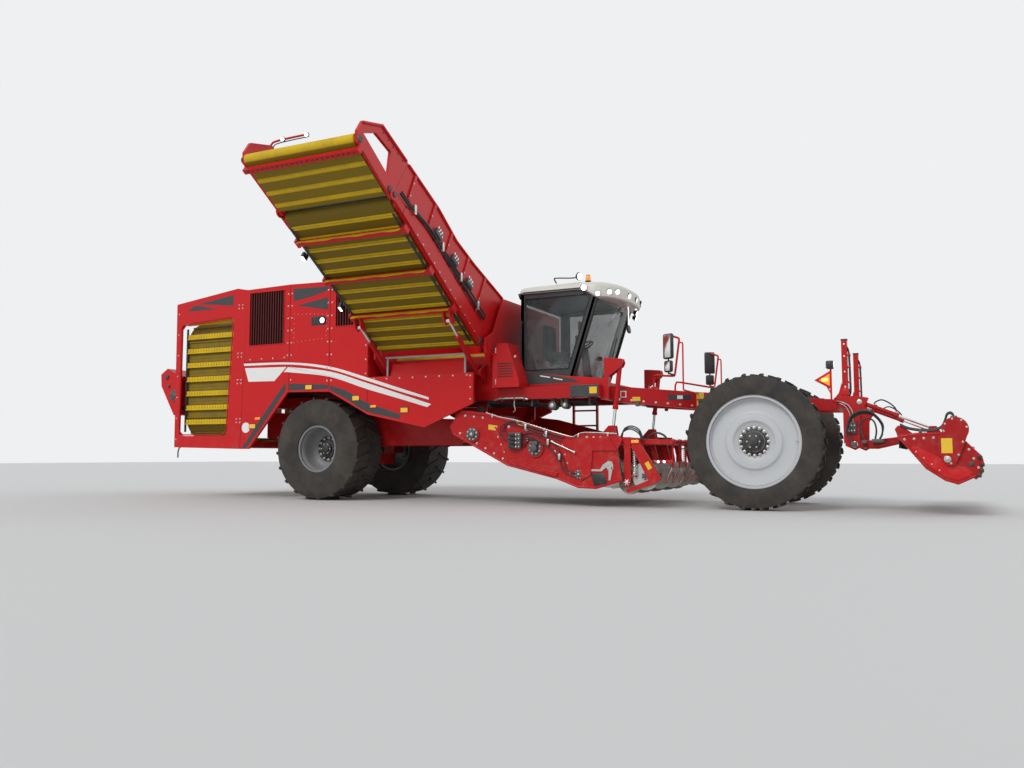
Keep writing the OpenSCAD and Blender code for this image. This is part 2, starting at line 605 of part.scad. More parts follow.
// Barrel from a towards b, bored for its rod, and the rod out of it to its eye at b
module barrel(a, b, r, len) {
    v = b - a;
    bore = r * 0.62 + pin_gap;
    translate(a) rotate([0, acos(v.z / norm(v)), atan2(v.y, v.x)]) rotate_extrude($fn = 24)
        polygon([[0, 20], [r, 20], [r, len - 60], [r + 7, len - 60], [r + 7, len], [bore, len], [bore, 80], [0, 80]]);
}
module piston_rod(a, b, r, len) {
    v = b - a;
    e = v / norm(v);
    rod(a + e * len, b - e * 20, r * 0.62);
}
function elevator_eye() = [hinge_y - elevator_eye_u * cos(elevator_deg) + elevator_eye_w * sin(elevator_deg),
    hinge_z + elevator_eye_u * sin(elevator_deg) + elevator_eye_w * cos(elevator_deg)];
module elevator_barrels() color("firebrick") for (x = cyl_xs) {
    a = [x, elevator_base[0], elevator_base[1]];
    b = [x, elevator_eye()[0], elevator_eye()[1]];
    barrel(a, b, 43, 900);
    disc_x(a.y, a.z, 45, x - 44, 88);
    disc_x(a.y, a.z, cyl_pin_r, x - 72, 144);
}
module elevator_rods() color("silver") for (x = cyl_xs) {
    a = [x, elevator_base[0], elevator_base[1]];
    b = [x, elevator_eye()[0], elevator_eye()[1]];
    piston_rod(a, b, 43, 500);
    disc_x(b.y, b.z, 45, x - 40, 80);
}
module dig_barrels() color("firebrick") for (y = [-lift_y, lift_y]) {
    a = [dig_lift[0], y, dig_lift[1]];
    b = [dig_eye[0], y, dig_eye[1]];
    barrel(a, b, 40, 760);
    disc_y(a.x, a.z, 42, y - 43, 86);
    disc_y(a.x, a.z, cyl_pin_r, y - 70, 140);
}
module dig_rods() color("silver") both_sides() {
    a = [dig_lift[0], lift_y, dig_lift[1]];
    b = [dig_eye[0], lift_y, dig_eye[1]];
    piston_rod(a, b, 40, 300);
    disc_y(b.x, b.z, 45, b.y - 30, 60);
}
module topper_barrels() color("firebrick") for (y = [-mast_y, mast_y]) {
    a = [mast_lift[0], y, mast_lift[1]];
    b = [hood_eye[0], y, hood_eye[1]];
    barrel(a, b, 32, 560);
    disc_y(a.x, a.z, 35, y - 36, 72);
    disc_y(a.x, a.z, cyl_pin_r, y - 60, 120);
}
module topper_rods() color("silver") both_sides() {
    a = [mast_lift[0], mast_y, mast_lift[1]];
    b = [hood_eye[0], mast_y, hood_eye[1]];
    piston_rod(a, b, 32, 350);
    disc_y(b.x, b.z, 35, b.y - 30, 60);
}

cab_profile = [[cab_rear_x, cab_z], [cab_rear_x, roof_z], [-2560, roof_z], [-2130, 3410], [-2480, cab_z]];
door_hinge = [-3984, 970];
door_hinge_zs = [2380, 3300];
door_outline = [[-3960, 2120], [-3960, 3590], [-2690, 3590], [-3180, 2120]];
window_rear = [[-3950, 2300], [-3950, 3560], [-2720, 3560], [-3140, 2300]];
window_front = [[-3030, 2180], [-2600, 3560], [-2550, 3560], [-2215, 3380], [-2520, 2180]];
screen = [[-2600, 2140], [-2300, 2140], [-1980, 3350], [-2600, 3350]];
module cab_shell() color("dimgray") difference() {
    union() {
        difference() {
            across(-cab_half, 2 * cab_half) polygon(cab_profile);
            across(-cab_half + cab_t, 2 * cab_half - 2 * cab_t) offset(delta = -cab_t) polygon(cab_profile);
        }
        for (z = door_hinge_zs) {
            box([cab_rear_x, cab_half - 1, z], [door_hinge[0] + 16, door_hinge[1] + 16, z + 60]);
            translate([door_hinge[0], door_hinge[1], z]) cylinder(h = 130, r = 8);
        }
    }
    across(-cab_half - 100, 300) { polygon(window_rear); polygon(window_front); }
    across(cab_half - 200, 300) polygon(window_front);
    across(cab_half - 200, 300) offset(delta = 6) polygon(door_outline);
    across(-cab_half + 80, 2 * cab_half - 160) polygon(screen);
    box([cab_rear_x - 100, -cab_half + 100, 2350], [cab_rear_x + 200, cab_half - 100, 3500]);
}
module cab_glass() color("lightblue", 0.5) {
    across(-cab_half + 24, glass_t) { polygon(window_rear); polygon(window_front); }
    across(cab_half - 24 - glass_t, glass_t) polygon(window_front);
    box([cab_rear_x + 24, -cab_half + 100, 2350], [cab_rear_x + 24 + glass_t, cab_half - 100, 3500]);
    intersection() {
        across(-cab_half + 80, 2 * cab_half - 160) polygon(screen);
        across(-cab_half, 2 * cab_half) difference() {
            offset(delta = -20) polygon(cab_profile);
            offset(delta = -20 - glass_t) polygon(cab_profile);
        }
    }
}
module cab_door() color("dimgray") {
    difference() {
        across(cab_half - cab_t, cab_t) polygon(door_outline);
        across(cab_half - cab_t - 50, cab_t + 100) offset(delta = -80) polygon(door_outline);
    }
    for (z = door_hinge_zs) difference() {
        union() {
            translate([door_hinge[0], door_hinge[1], z + 60 + gap]) cylinder(h = 60, r = 16);
            box([door_hinge[0], cab_half + 5, z + 60 + gap], [door_hinge[0] + 100, cab_half + 14, z + 120 + gap]);
            box([-3950, cab_half - 1, z + 60 + gap], [door_hinge[0] + 100, cab_half + 6, z + 120 + gap]);
        }
        translate([door_hinge[0], door_hinge[1], z]) cylinder(h = 200, r = 8 + pin_gap);
    }
}
module door_glass() color("lightblue", 0.5)
    across(cab_half - 24 - glass_t, glass_t) offset(delta = -80) polygon(door_outline);
roof_front_x = -1960;
roof_half = cab_half + 40;
roof_corner_r = 300;
module cab_roof() color("beige") intersection() {
    across(-roof_half, 2 * roof_half) polygon([
        [cab_rear_x - 20, roof_z], [cab_rear_x, roof_z + 150], [-2880, roof_z + 190], [-2520, roof_z + 140],
        [-2000, 3530], [roof_front_x, 3500], [roof_front_x, 3415], [-2080, 3385], [-2130, 3410], [-2560, roof_z]]);
    translate([0, 0, 3300]) linear_extrude(700) roof_plan();
}
module roof_plan() {
    corner_x = roof_front_x - roof_corner_r;
    translate([cab_rear_x - 50, -roof_half]) square([corner_x - cab_rear_x + 50, 2 * roof_half]);
    translate([corner_x, -roof_half + roof_corner_r]) square([roof_corner_r, 2 * (roof_half - roof_corner_r)]);
    for (side = [-1, 1]) translate([corner_x, side * (roof_half - roof_corner_r)]) circle(roof_corner_r, $fn = 64);
}
module cab_seat() color("dimgray") {
    box([-3550, -250, cab_z + cab_t], [-3150, 250, cab_z + 450]);
    box([-3620, -250, cab_z + 450], [-3120, 250, cab_z + 560]);
    box([-3700, -240, cab_z + 500], [-3590, 240, cab_z + 1150]);
    across(-60, 120) polygon([[-2780, cab_z + cab_t], [-2620, cab_z + cab_t], [-2760, cab_z + 720], [-2860, cab_z + 700]]);
    translate([-2830, 0, cab_z + 740]) rotate([0, -28, 0]) {
        translate([0, 0, -60]) cylinder(h = 76, r = 34);
        rotate_extrude() translate([176, -16]) square([28, 28]);
        for (a = [0, 120, 240]) rotate(a) box([0, -14, -12], [190, 14, 8]);
    }
}
module cab_skirt() color("firebrick") across(-cab_half - 60, 60) polygon([
    [cab_rear_x, cab_z], [cab_rear_x, 2290], [-3150, 2170], [-2440, 2100], [-2440, cab_z]]);
module side_hood() color("firebrick") {
    across(-1400, 380) polygon([[-4360, frame_top_z], [-4360, 2560], [-4260, 2740], [-4080, 2740],
        [-3860, 2080], [-3860, frame_top_z]]);
    box([-2940, -cab_beam_y - 160, frame_z], [-2440, -cab_beam_y, frame_top_z]);
}
module deck_ladder() color("firebrick") {
    box([cab_rear_x - 100, -cab_half - 60, frame_top_z], [cab_beam_front_x - 95, body_half - 5, cab_z]);
    for (x = [-4100, -3600]) box([x - 20, ladder_y, 480], [x + 20, body_half - 5, frame_top_z + 1]);
    for (z = [500:300:1800]) box([-4100, ladder_y, z], [-3600, body_half - 5, z + 30]);
}
ladder_y = dig_half + 30 + dig_trim;
mirror_foot = [-1730, 660, 1940];
mirror_x = -1050;
mirror_y = 1350;
mirror_pipe = [mirror_foot + [0, 0, 12], [-1720, 660, 2150], [-1180, mirror_y, 2060], [-1100, mirror_y, 2650],
    [-1230, mirror_y + 10, 2700]];
// Head of h over z, turned half to the front
module mirror_head(z, w, h) translate([-1270, mirror_y + 30, z]) rotate(28) translate([-w / 2, -35, 0]) cube([w, 70, h]);
module mirrors() color("dimgray") both_sides() {
    translate(mirror_foot) cylinder(h = 20, r = 42);
    for (i = [1:len(mirror_pipe) - 1]) rod(mirror_pipe[i - 1], mirror_pipe[i], 17);
    for (i = [1:3]) translate(mirror_pipe[i] - [24, 24, 20]) cube([48, 48, 40]);
    mirror_head(2330, 190, 400);
    mirror_head(2120, 150, 185);
    rod([-1270, mirror_y + 30, 2090], [-1270, mirror_y + 30, 2350], 13);
    rod([-1180, mirror_y, 2075], [-1270, mirror_y + 30, 2105], 13);
    rod([mirror_x, neck_y, 1840], [mirror_x, mirror_y - 10, 1840], 14);
    rod([mirror_x, mirror_y - 10, 1840], [mirror_x, mirror_y - 10, 2590], 14);
    rod([mirror_x, mirror_y - 10, 2575], mirror_pipe[3] + [-8, 0, -60], 12);
    translate([mirror_x - 20, mirror_y - 30, 1820]) cube(40);
}
module lamps() color("orange") {
    translate([-2900, -600, roof_z + 190 + gap]) cylinder(h = 130, r = 55);
    for (y = [-600:240:600]) box([roof_front_x, y - 60, 3425], [roof_front_x + 40, y + 60, 3495]);
}

dig_outline = [[-5080, 1330], [-4870, 1600], [-4390, 1540], [-2830, 1130], [-2600, 1180], [-2060, 1160],
    [-1970, 1060], [-2050, 920], [-1980, 420], [-2410, 290], [-2710, 300], [-3090, 440], [-3980, 650], [-5020, 1180]];
roller_at = [-1920, 400];
coulter_at = [-1640, 500];
front_bar = [-1760, 1045];
guide_x = -1225;
module dig_frame() color("firebrick") difference() {
    union() {
        both_sides() across(dig_half - dig_t, dig_t) polygon(dig_outline);
        box([-5000, -dig_half + dig_t, 1440], [-4870, dig_half - dig_t, 1570]);
        box([-2520, -dig_half + dig_t, 1000], [-2380, dig_half - dig_t, 1140]);
        both_sides() dig_side();
        box([front_bar[0] - 45, -dig_half + 70, front_bar[1] - 45], [front_bar[0] + 45, dig_half - 70, front_bar[1] + 45]);
        disc_y(guide_x, 1035, 32, -dig_half + 170, 2 * dig_half - 340);
        // Arms of the coulters and tines of the haulm guide
        for (i = [-2:2]) across(i * coulter_pitch + 20, 22) polygon([[front_bar[0] - 40, front_bar[1] - 20],
            [front_bar[0] + 40, front_bar[1] - 20], [coulter_at[0] + 45, coulter_at[1] + 20],
            [coulter_at[0] + 30, coulter_at[1] - 45], [coulter_at[0] - 30, coulter_at[1] - 45], [coulter_at[0] - 50, coulter_at[1] + 40]]);
        for (i = [-3.5:1:3.5]) {
            rod([guide_x, i * 390, 1035], [guide_x - 5, i * 390, 640], 14);
            rod([guide_x - 5, i * 390, 650], [guide_x - 120, i * 390, 390], 14);
            translate([guide_x - 5, i * 390, 645]) sphere(r = 14.5, $fn = 24);
        }
    }
    disc_y(roller_at[0], roller_at[1], 30 + pin_gap, -1600, 3200);
    disc_y(coulter_at[0], coulter_at[1], 25 + pin_gap, -1600, 3200);
}
coulter_pitch = row_pitch * 0.97;
module dig_side() {
    // Pivot arms and pins
    across(1060, 40) polygon([[-4990, 1500], [-4990, 1570], [dig_hinge_x - 40, dig_hinge_z + 70],
        [dig_hinge_x + 40, dig_hinge_z + 70], [dig_hinge_x + 70, dig_hinge_z], [dig_hinge_x + 20, dig_hinge_z - 80],
        [-4880, 1450]]);
    disc_y(dig_hinge_x, dig_hinge_z, hinge_pin_r, 995, 80);
    // Ears of the lift cylinders
    for (s = [-1, 1]) across(lift_y + s * 48 - 12, 24) polygon([[-2515, 1010], [-2515, 1130], [dig_eye[0] - 60, dig_eye[1] + 60],
        [dig_eye[0] + 50, dig_eye[1] + 60], [dig_eye[0] + 70, dig_eye[1] - 60], [-2190, 1010]]);
    // Flanged edge and stiffener of the side plate, guard of the web's drive, arm to the front bar
    across(dig_half - 1, 24) polygon([[-4870, 1600], [-4390, 1540], [-2830, 1130], [-2830, 1090], [-4395, 1500], [-4850, 1558]]);
    across(dig_half - 1, dig_trim) polygon([[-3930, 690], [-3090, 480], [-3060, 540], [-3880, 760]]);
    disc_y(-4630, 1180, 130, dig_half - 1, dig_trim + 1);
    disc_y(-3460, 940, 150, dig_half - 1, dig_trim + 1);
    across(dig_half - 1, dig_trim) polygon([[-2710, 1090], [-2180, 1120], [-2060, 900], [-2460, 900], [-2490, 520], [-2660, 420]]);
    across(dig_half - 110, 40) polygon([[-2400, 1090], [front_bar[0], front_bar[1] + 45], [front_bar[0], front_bar[1] - 45], [-2400, 1000]]);
    box([front_bar[0], dig_half - 210, 1000], [guide_x, dig_half - 170, 1070]);
    // Arm of the ridge roller, and the angled arm in front of it
    across(dig_half - 95, 25) polygon([[-2010, 1110], [-1860, 1110], [-1860, 900], [roller_at[0] + 60, roller_at[1] + 20],
        [roller_at[0] + 45, roller_at[1] - 60], [roller_at[0] - 45, roller_at[1] - 60], [roller_at[0] - 60, roller_at[1] + 20], [-1960, 900]]);
    across(dig_half - 55, 40) polygon([[front_bar[0] - 60, 1075], [-1690, 1030], [-1350, 460], [-1480, 380], [-1900, 240], [-1930, 290],
        [-1560, 440], [front_bar[0] - 60, 950]]);
    box([front_bar[0] - 60, dig_half - 100, 1000], [front_bar[0] + 30, dig_half - 40, 1075]);
}
module dig_web() color("gray") {
    a = [-2700, 520];
    b = [-4850, 1280];
    w = dig_half - dig_t - 8;
    across(-w, 2 * w) web_2d(a, b, 110, belt_t);
    for (p = [a, b]) disc_y(p[0], p[1], 40, -w - 8, 2 * w + 16);
    for (p = [a, b]) disc_y(p[0], p[1], 112 - belt_t, -w, 2 * w);
}
module dig_shares() color("silver") across(-dig_half + dig_t, 2 * dig_half - 2 * dig_t) polygon([
    [-2600, 420], [-2600, 445], [-2300, 352], [-2140, 300], [-2300, 325]]);
// Rollers with their shaft between them, in pieces that meet at the rollers' ends
roller_half = 300;
roller_pitch = row_pitch * 0.95;
module ridge_rollers() color("silver") {
    for (i = [-1.5:1:1.5]) translate([roller_at[0], i * roller_pitch, roller_at[1]]) rotate([90, 0, 0]) rotate_extrude()
        difference() {
            translate([0, gap - roller_half]) square([190, 2 * (roller_half - gap)]);
            translate([500, 0]) circle(r = 400);
        }
    for (i = [-1:1]) disc_y(roller_at[0], roller_at[1], 30, i * roller_pitch - roller_pitch / 2 + roller_half,
        roller_pitch - 2 * roller_half);
    both_sides() disc_y(roller_at[0], roller_at[1], 30, 1.5 * roller_pitch + roller_half, 1530 - 1.5 * roller_pitch - roller_half);
}
module disc_coulters() color("silver") for (i = [-2:2]) {
    disc_y(coulter_at[0], coulter_at[1], 220, i * coulter_pitch - 5, 10);
    disc_y(coulter_at[0], coulter_at[1], 40, i * coulter_pitch - 5, 18);
    disc_y(coulter_at[0], coulter_at[1], 25, i * coulter_pitch - 5, 50);
}

rotor_at = [2600, 770];
hood_outline = [[1990, 1060], [1990, 1100], [2240, 1130], [2550, 1135], [2830, 1010], [3015, 810], [nose_x, 740],
    [3005, 570], [2930, 500], [2905, 520], [2965, 590], [2985, 740], [2972, 792], [2805, 975], [2545, 1095], [2240, 1090]];
module topper_hood() color("firebrick") difference() {
    union() {
        across(-topper_half + 20, 2 * topper_half - 40) polygon(hood_outline);
        both_sides() topper_side();
    }
    disc_y(rotor_at[0], rotor_at[1], 30 + pin_gap, -2000, 4000);
}
module topper_side() {
    across(topper_half - 21, 21) polygon([
        [1990, 1060], [1990, 1100], [2240, 1130], [2550, 1135], [2830, 1010], [3015, 810], [nose_x, 740],
        [3005, 570], [2720, 430], [2560, 480], [2330, 640], [2130, 900]]);
    // Cover of the belt drive, and the lug at the rear
    across(topper_half - 1, 60) {
        translate([2705, 1170]) circle(165);
        polygon([[2545, 1130], [2820, 1290], [2868, 1150], [2800, 950], [2690, 690], [2590, 690], [2500, 850], [2500, 1050]]);
    }
    across(topper_half - 60, 40) polygon([[2000, 1070], [1960, 1180], [2000, 1230], [2060, 1220], [2200, 1110]]);
    // Lift arm with its pin, and ears for the rod's eye
    across(mast_y - 34, 68) polygon([[topper_hinge_x - 45, topper_hinge_z - 45], [topper_hinge_x - 45, topper_hinge_z + 45],
        [topper_hinge_x + 200, topper_hinge_z + 60], [2100, 1100], [2100, 1050], [topper_hinge_x + 200, topper_hinge_z - 50]]);
    disc_y(topper_hinge_x, topper_hinge_z, hinge_pin_r, mast_y - 60, 120);
    for (s = [-1, 1]) across(mast_y + s * 47 - 12, 24) polygon([[2340, 1110], [2390, 1235], [2480, 1235], [2560, 1110]]);
}
module topper_rotor() color("dimgray") {
    disc_y(rotor_at[0], rotor_at[1], 100, -topper_half + 30, 2 * topper_half - 60);
    disc_y(rotor_at[0], rotor_at[1], 30, -topper_half, 2 * topper_half);
    for (k = [0:3], i = [-6.5:1:6.5]) translate([rotor_at[0], i * 220 + k * 50 - 75, rotor_at[1]]) rotate([0, k * 90, 0])
        box([0, -20, -8], [245, 20, 8]);
}

placed() main_frame();
placed() neck();
placed() tow_jaw();
placed() front_axle();
placed() rear_axle();
placed() side_panel_right();
placed() side_panel_left();
placed() body_inner();
placed() engine();
placed() grilles();
placed() ring_frame();
placed() ring_elevator();
placed() tail_hood();
placed() web_channel();
placed() sieving_web();
placed() bunker();
placed() bunker_floor();
placed() handrails();
placed() cab_shell();
placed() cab_roof();
placed() cab_glass();
placed() cab_seat();
placed() cab_skirt();
placed() side_hood();
placed() deck_ladder();
placed() mirrors();
placed() lamps();
placed() cab_door();
placed() door_glass();
placed() knuckle_left();
placed() knuckle_right();
placed() tie_rod();
placed() front_rim_left();
placed() front_rim_right();
placed() rear_rim_left();
placed() rear_rim_right();
placed() front_tyre_left();
placed() front_tyre_right();
placed() rear_tyre_left();
placed() rear_tyre_right();
placed() dig_frame();
placed() dig_web();
placed() dig_shares();
placed() ridge_rollers();
placed() disc_coulters();
placed() dig_barrels();
placed() dig_rods();
placed() elevator_frame();
placed() elevator_belt();
placed() elevator_head();
placed() head_belt();
placed() elevator_barrels();
placed() elevator_rods();
placed() topper_hood();
placed() topper_rotor();
placed() topper_barrels();
placed() topper_rods();
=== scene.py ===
"""Looks of a self-propelled four-row potato harvester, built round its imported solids."""

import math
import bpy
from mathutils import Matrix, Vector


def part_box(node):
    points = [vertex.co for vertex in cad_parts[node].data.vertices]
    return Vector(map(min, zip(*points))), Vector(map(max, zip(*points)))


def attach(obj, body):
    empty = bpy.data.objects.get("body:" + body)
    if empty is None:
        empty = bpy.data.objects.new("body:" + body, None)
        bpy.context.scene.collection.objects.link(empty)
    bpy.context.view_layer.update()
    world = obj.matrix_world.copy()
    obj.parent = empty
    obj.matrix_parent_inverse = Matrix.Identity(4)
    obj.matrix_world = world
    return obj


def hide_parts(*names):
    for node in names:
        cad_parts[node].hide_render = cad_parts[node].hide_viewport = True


bl_info = {
    "name": "Potato harvester",
    "version": (1, 0, 0),
    "blender": (4, 5, 0),
    "location": "3D View > Sidebar > Harvester",
    "description": "Finishes, trim and studio for the packed potato harvester",
    "category": "Object",
}

import bmesh
import bpy
from mathutils import Matrix, Vector

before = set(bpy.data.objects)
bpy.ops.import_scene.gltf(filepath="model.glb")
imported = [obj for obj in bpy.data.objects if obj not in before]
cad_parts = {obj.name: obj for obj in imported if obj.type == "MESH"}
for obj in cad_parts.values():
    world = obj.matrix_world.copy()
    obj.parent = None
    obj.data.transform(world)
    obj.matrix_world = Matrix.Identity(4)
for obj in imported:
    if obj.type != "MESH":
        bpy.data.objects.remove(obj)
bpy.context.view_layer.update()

LEFT_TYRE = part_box("front_tyre_left")
RIGHT_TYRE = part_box("front_tyre_right")
# Ground point under the front axle; trim is placed from it in metres, +X to the front
AXLE = Vector(((LEFT_TYRE[0].x + LEFT_TYRE[1].x) / 2, (LEFT_TYRE[1].y + RIGHT_TYRE[0].y) / 2, 0))
SIDE_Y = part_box("side_panel_right")[0].y - AXLE.y
# Pivot and rise of the elevator, and the directions along its belt and square to it
HINGE = Vector((0, -1.480, 2.695))
SLOPE = math.radians(34)
ALONG_BELT = Vector((0, -math.cos(SLOPE), math.sin(SLOPE)))
OFF_BELT = Vector((0, math.sin(SLOPE), math.cos(SLOPE)))
BELT_TURN = Matrix.Rotation(-SLOPE, 3, "X")
BELT_X = (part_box("elevator_frame")[0].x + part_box("elevator_frame")[1].x) / 2 - AXLE.x


def at(x, y, z):
    """A place given from the ground under the front axle."""
    return AXLE + Vector((x, y, z))


def on_belt(x, u, w):
    """A place on the elevator: x from its middle, u outward along the belt, w square to it."""
    return at(BELT_X + x, HINGE.y, HINGE.z) + ALONG_BELT * u + OFF_BELT * w


def at_y(y, places):
    """Places in the upright plane at y, from pairs of x and z."""
    return [at(x, y, z) for x, z in places]


def circle(centre, radius, count, start=0.0, u=(1, 0, 0), w=(0, 0, 1)):
    """Places at even steps round a centre, in the plane of two directions."""
    u, w = Vector(u) * radius, Vector(w) * radius
    turns = [start + 2 * math.pi * k / count for k in range(count)]
    return [centre + u * math.cos(t) + w * math.sin(t) for t in turns]


class Wire:
    """A shader socket that takes part in Python sums."""

    def __init__(self, maker, socket):
        self.maker, self.socket = maker, socket

    def _math(self, operation, *values):
        return self.maker.node("ShaderNodeMath", {"operation": operation}, values)

    def __add__(self, other): return self._math("ADD", self, other)
    def __radd__(self, other): return self._math("ADD", other, self)
    def __sub__(self, other): return self._math("SUBTRACT", self, other)
    def __rsub__(self, other): return self._math("SUBTRACT", other, self)
    def __mul__(self, other): return self._math("MULTIPLY", self, other)
    def __rmul__(self, other): return self._math("MULTIPLY", other, self)

    def clamp(self): return self.maker.node("ShaderNodeClamp", {}, [self])
    def fraction(self): return self._math("FRACT", self)
    def size(self): return self._math("ABSOLUTE", self)


class Maker:
    """Builds one material's nodes."""

    def __init__(self, name):
        self.material = bpy.data.materials.new(name)
        self.material.use_nodes = True
        self.tree = self.material.node_tree
        self.shader = self.tree.nodes["Principled BSDF"]

    def node(self, kind, settings=None, inputs=(), out=0):
        made = self.tree.nodes.new(kind)
        for key, value in (settings or {}).items():
            setattr(made, key, value)
        pairs = inputs.items() if isinstance(inputs, dict) else enumerate(inputs)
        for key, value in pairs:
            self.feed(made.inputs[key], value)
        return Wire(self, made.outputs[out])

    def feed(self, socket, value):
        if isinstance(value, Wire):
            self.tree.links.new(value.socket, socket)
        else:
            socket.default_value = value

    def place(self):
        return self.node("ShaderNodeTexCoord", out="Object")

    def part(self, vector, axis):
        return self.node("ShaderNodeSeparateXYZ", {}, [vector], out=axis)

    def noise(self, vector, scale, detail=4, rough=0.55):
        inputs = {"Vector": vector, "Scale": scale, "Detail": detail, "Roughness": rough}
        return self.node("ShaderNodeTexNoise", {}, inputs, out="Fac")

    def stretch(self, vector, scale):
        return self.node("ShaderNodeMapping", {}, {"Vector": vector, "Scale": scale})

    def ramp(self, value, lo, hi):
        """0 below lo and 1 above hi."""
        inputs = {"Value": value, "From Min": lo, "From Max": hi}
        return self.node("ShaderNodeMapRange", {"interpolation_type": "SMOOTHSTEP"}, inputs)

    def mix(self, factor, a, b):
        """Colour a where the factor is 0, and b where it is 1."""
        inputs = {"Factor": factor, 6: shade(a), 7: shade(b)}
        return self.node("ShaderNodeMix", {"data_type": "RGBA"}, inputs, out=2)

    def tint(self, colour, amount):
        """A colour times a value."""
        return self.node("ShaderNodeVectorMath", {"operation": "SCALE"}, {0: shade3(colour), "Scale": amount})

    def bump(self, height, strength=0.3, distance=0.002, normal=None):
        inputs = {"Strength": strength, "Distance": distance, "Height": height}
        if normal is not None:
            inputs["Normal"] = normal
        return self.node("ShaderNodeBump", {}, inputs)

    def soft(self, radius):
        """The normal with its edges rounded."""
        return self.node("ShaderNodeBevel", {"samples": 4}, {"Radius": radius})

    def edges(self, radius):
        """The rounded normal, and how near the surface is to an edge."""
        soft = self.soft(radius)
        flat = self.node("ShaderNodeNewGeometry", out="Normal")
        same = self.node("ShaderNodeVectorMath", {"operation": "DOT_PRODUCT"}, [soft, flat], out="Value")
        return soft, 1 - same

    def finish(self, **inputs):
        for key, value in inputs.items():
            self.feed(self.shader.inputs[key.replace("_", " ")], value)
        return self.material


def shade(c):
    """A colour as a four-part socket takes it."""
    return c if isinstance(c, Wire) else (*c[:3], 1)


def shade3(c):
    """A colour as a vector socket takes it."""
    return c if isinstance(c, Wire) else tuple(c[:3])


def scaled(colour, by):
    """A lighter or darker shade of a colour."""
    return tuple(v * by for v in colour)


EARTH = (0.23, 0.165, 0.105)
DUST = (0.36, 0.29, 0.215)


def dusty(m, colour, top, base=0.03, rough=0.3, grain=7.0):
    """A colour with field dust that thins out up to a height, its roughness and its fine grain."""
    place = m.place()
    height = m.part(place, "Z")
    patches = m.noise(place, grain, 6, 0.62)
    fine = m.noise(place, grain * 16, 4, 0.7)
    low = 1 - m.ramp(height, 0.15, top)
    mask = (low * 0.55 * m.ramp(patches + fine * 0.35, 0.62, 1.15) + base * m.ramp(patches, 0.5, 0.8)).clamp()
    return m.mix(mask * 0.8, colour, DUST), rough + mask * 0.5, fine


def paint(name, colour, rough=0.36, top=1.7, coat=0.10, wear=0.35, tone=0.12):
    """Enamel on sheet steel: slight waves, dust below, thin wear along edges."""
    m = Maker(name)
    place = m.place()
    broad = m.noise(place, 1.3, 3)
    toned = m.tint(colour, 1 - tone / 2 + broad * tone)
    dull, roughness, fine = dusty(m, toned, top, rough=rough)
    soft, edge = m.edges(0.006)
    worn = m.ramp(edge * (0.4 + m.noise(place, 35, 5)), 0.06, 0.35) * wear
    bare = m.mix(worn, dull, (0.42, 0.36, 0.33))
    waves = m.noise(place, 2.4, 2) * 0.6 + fine * 0.05
    normal = m.bump(waves, 0.12, 0.006, soft)
    return m.finish(Base_Color=bare, Roughness=roughness.clamp(), Normal=normal, Coat_Weight=coat,
                    Coat_Roughness=0.12, Specular_IOR_Level=0.22)


def rubber(name, colour=(0.022, 0.021, 0.02), dust=DUST, amount=0.75, scale=5.0):
    """Tyre rubber with soil in its grooves and dust on its walls."""
    m = Maker(name)
    place = m.place()
    patches = m.noise(place, scale, 7, 0.65)
    fine = m.noise(place, 85, 5, 0.7)
    soft, edge = m.edges(0.01)
    mask = m.ramp(patches + fine * 0.4, 0.5, 1.0) * amount
    skin = m.mix(mask, colour, dust)
    bare = m.mix(m.ramp(edge, 0.05, 0.4) * 0.35, skin, (0.07, 0.065, 0.06))
    normal = m.bump(fine + patches * 0.5, 0.4, 0.004, soft)
    return m.finish(Base_Color=bare, Roughness=0.78 + mask * 0.18, Normal=normal, Specular_IOR_Level=0.3)


def metal(name, colour, rough=0.3, metallic=1.0, earth=0.5, scale=9.0):
    """Bare or plated steel with smears of soil."""
    m = Maker(name)
    place = m.place()
    streaks = m.noise(m.stretch(place, (3, 3, 30)), 6, 4)
    patches = m.noise(place, scale, 6, 0.65)
    mask = m.ramp(patches, 0.48, 0.72) * earth
    normal = m.bump(streaks, 0.08, 0.002, m.soft(0.004))
    return m.finish(Base_Color=m.mix(mask, colour, EARTH), Metallic=metallic * (1 - mask),
                    Roughness=(rough + mask * 0.5 + streaks * 0.12).clamp(), Normal=normal)


def web_finish(name, colour, earth=0.55, crest=None):
    """Moulded web, brown where earth dries; with a crest mask, the web off its crests is darkened as painted shade
    between the flights, and the crests keep the full colour.
    """
    m = Maker(name)
    place = m.place()
    if crest:
        # Painted shade: off the crests the web keeps only a third of its colour.
        colour = m.mix(crest(m, place), scaled(colour, 0.34), colour)
    patches = m.noise(place, 4.5, 7, 0.66)
    fine = m.noise(place, 60, 5, 0.7)
    mask = m.ramp(patches * 0.8 + fine * 0.35, 0.42, 0.78) * earth
    soil = m.mix(mask, m.tint(colour, 0.82 + fine * 0.36), (0.17, 0.12, 0.05))
    return m.finish(Base_Color=soil, Roughness=0.55 + mask * 0.35, Normal=m.bump(fine, 0.3, 0.003, m.soft(0.004)),
                    Specular_IOR_Level=0.2)


def on_flights(radius, tip=9.0):
    """A mask of what stands out from the elevator's belt beyond a radius, or lies past its tip; the belt outside this
    mask is darkened as painted shade.
    """
    c, s = math.cos(SLOPE), math.sin(SLOPE)

    def crest(m, place):
        y, z = m.part(place, "Y") - (AXLE.y + HINGE.y), m.part(place, "Z") - HINGE.z
        proud = m.ramp((y * s + z * c).size(), radius, radius + 0.006)
        return (proud + m.ramp(z * s - y * c, tip, tip + 0.03)).clamp()
    return crest


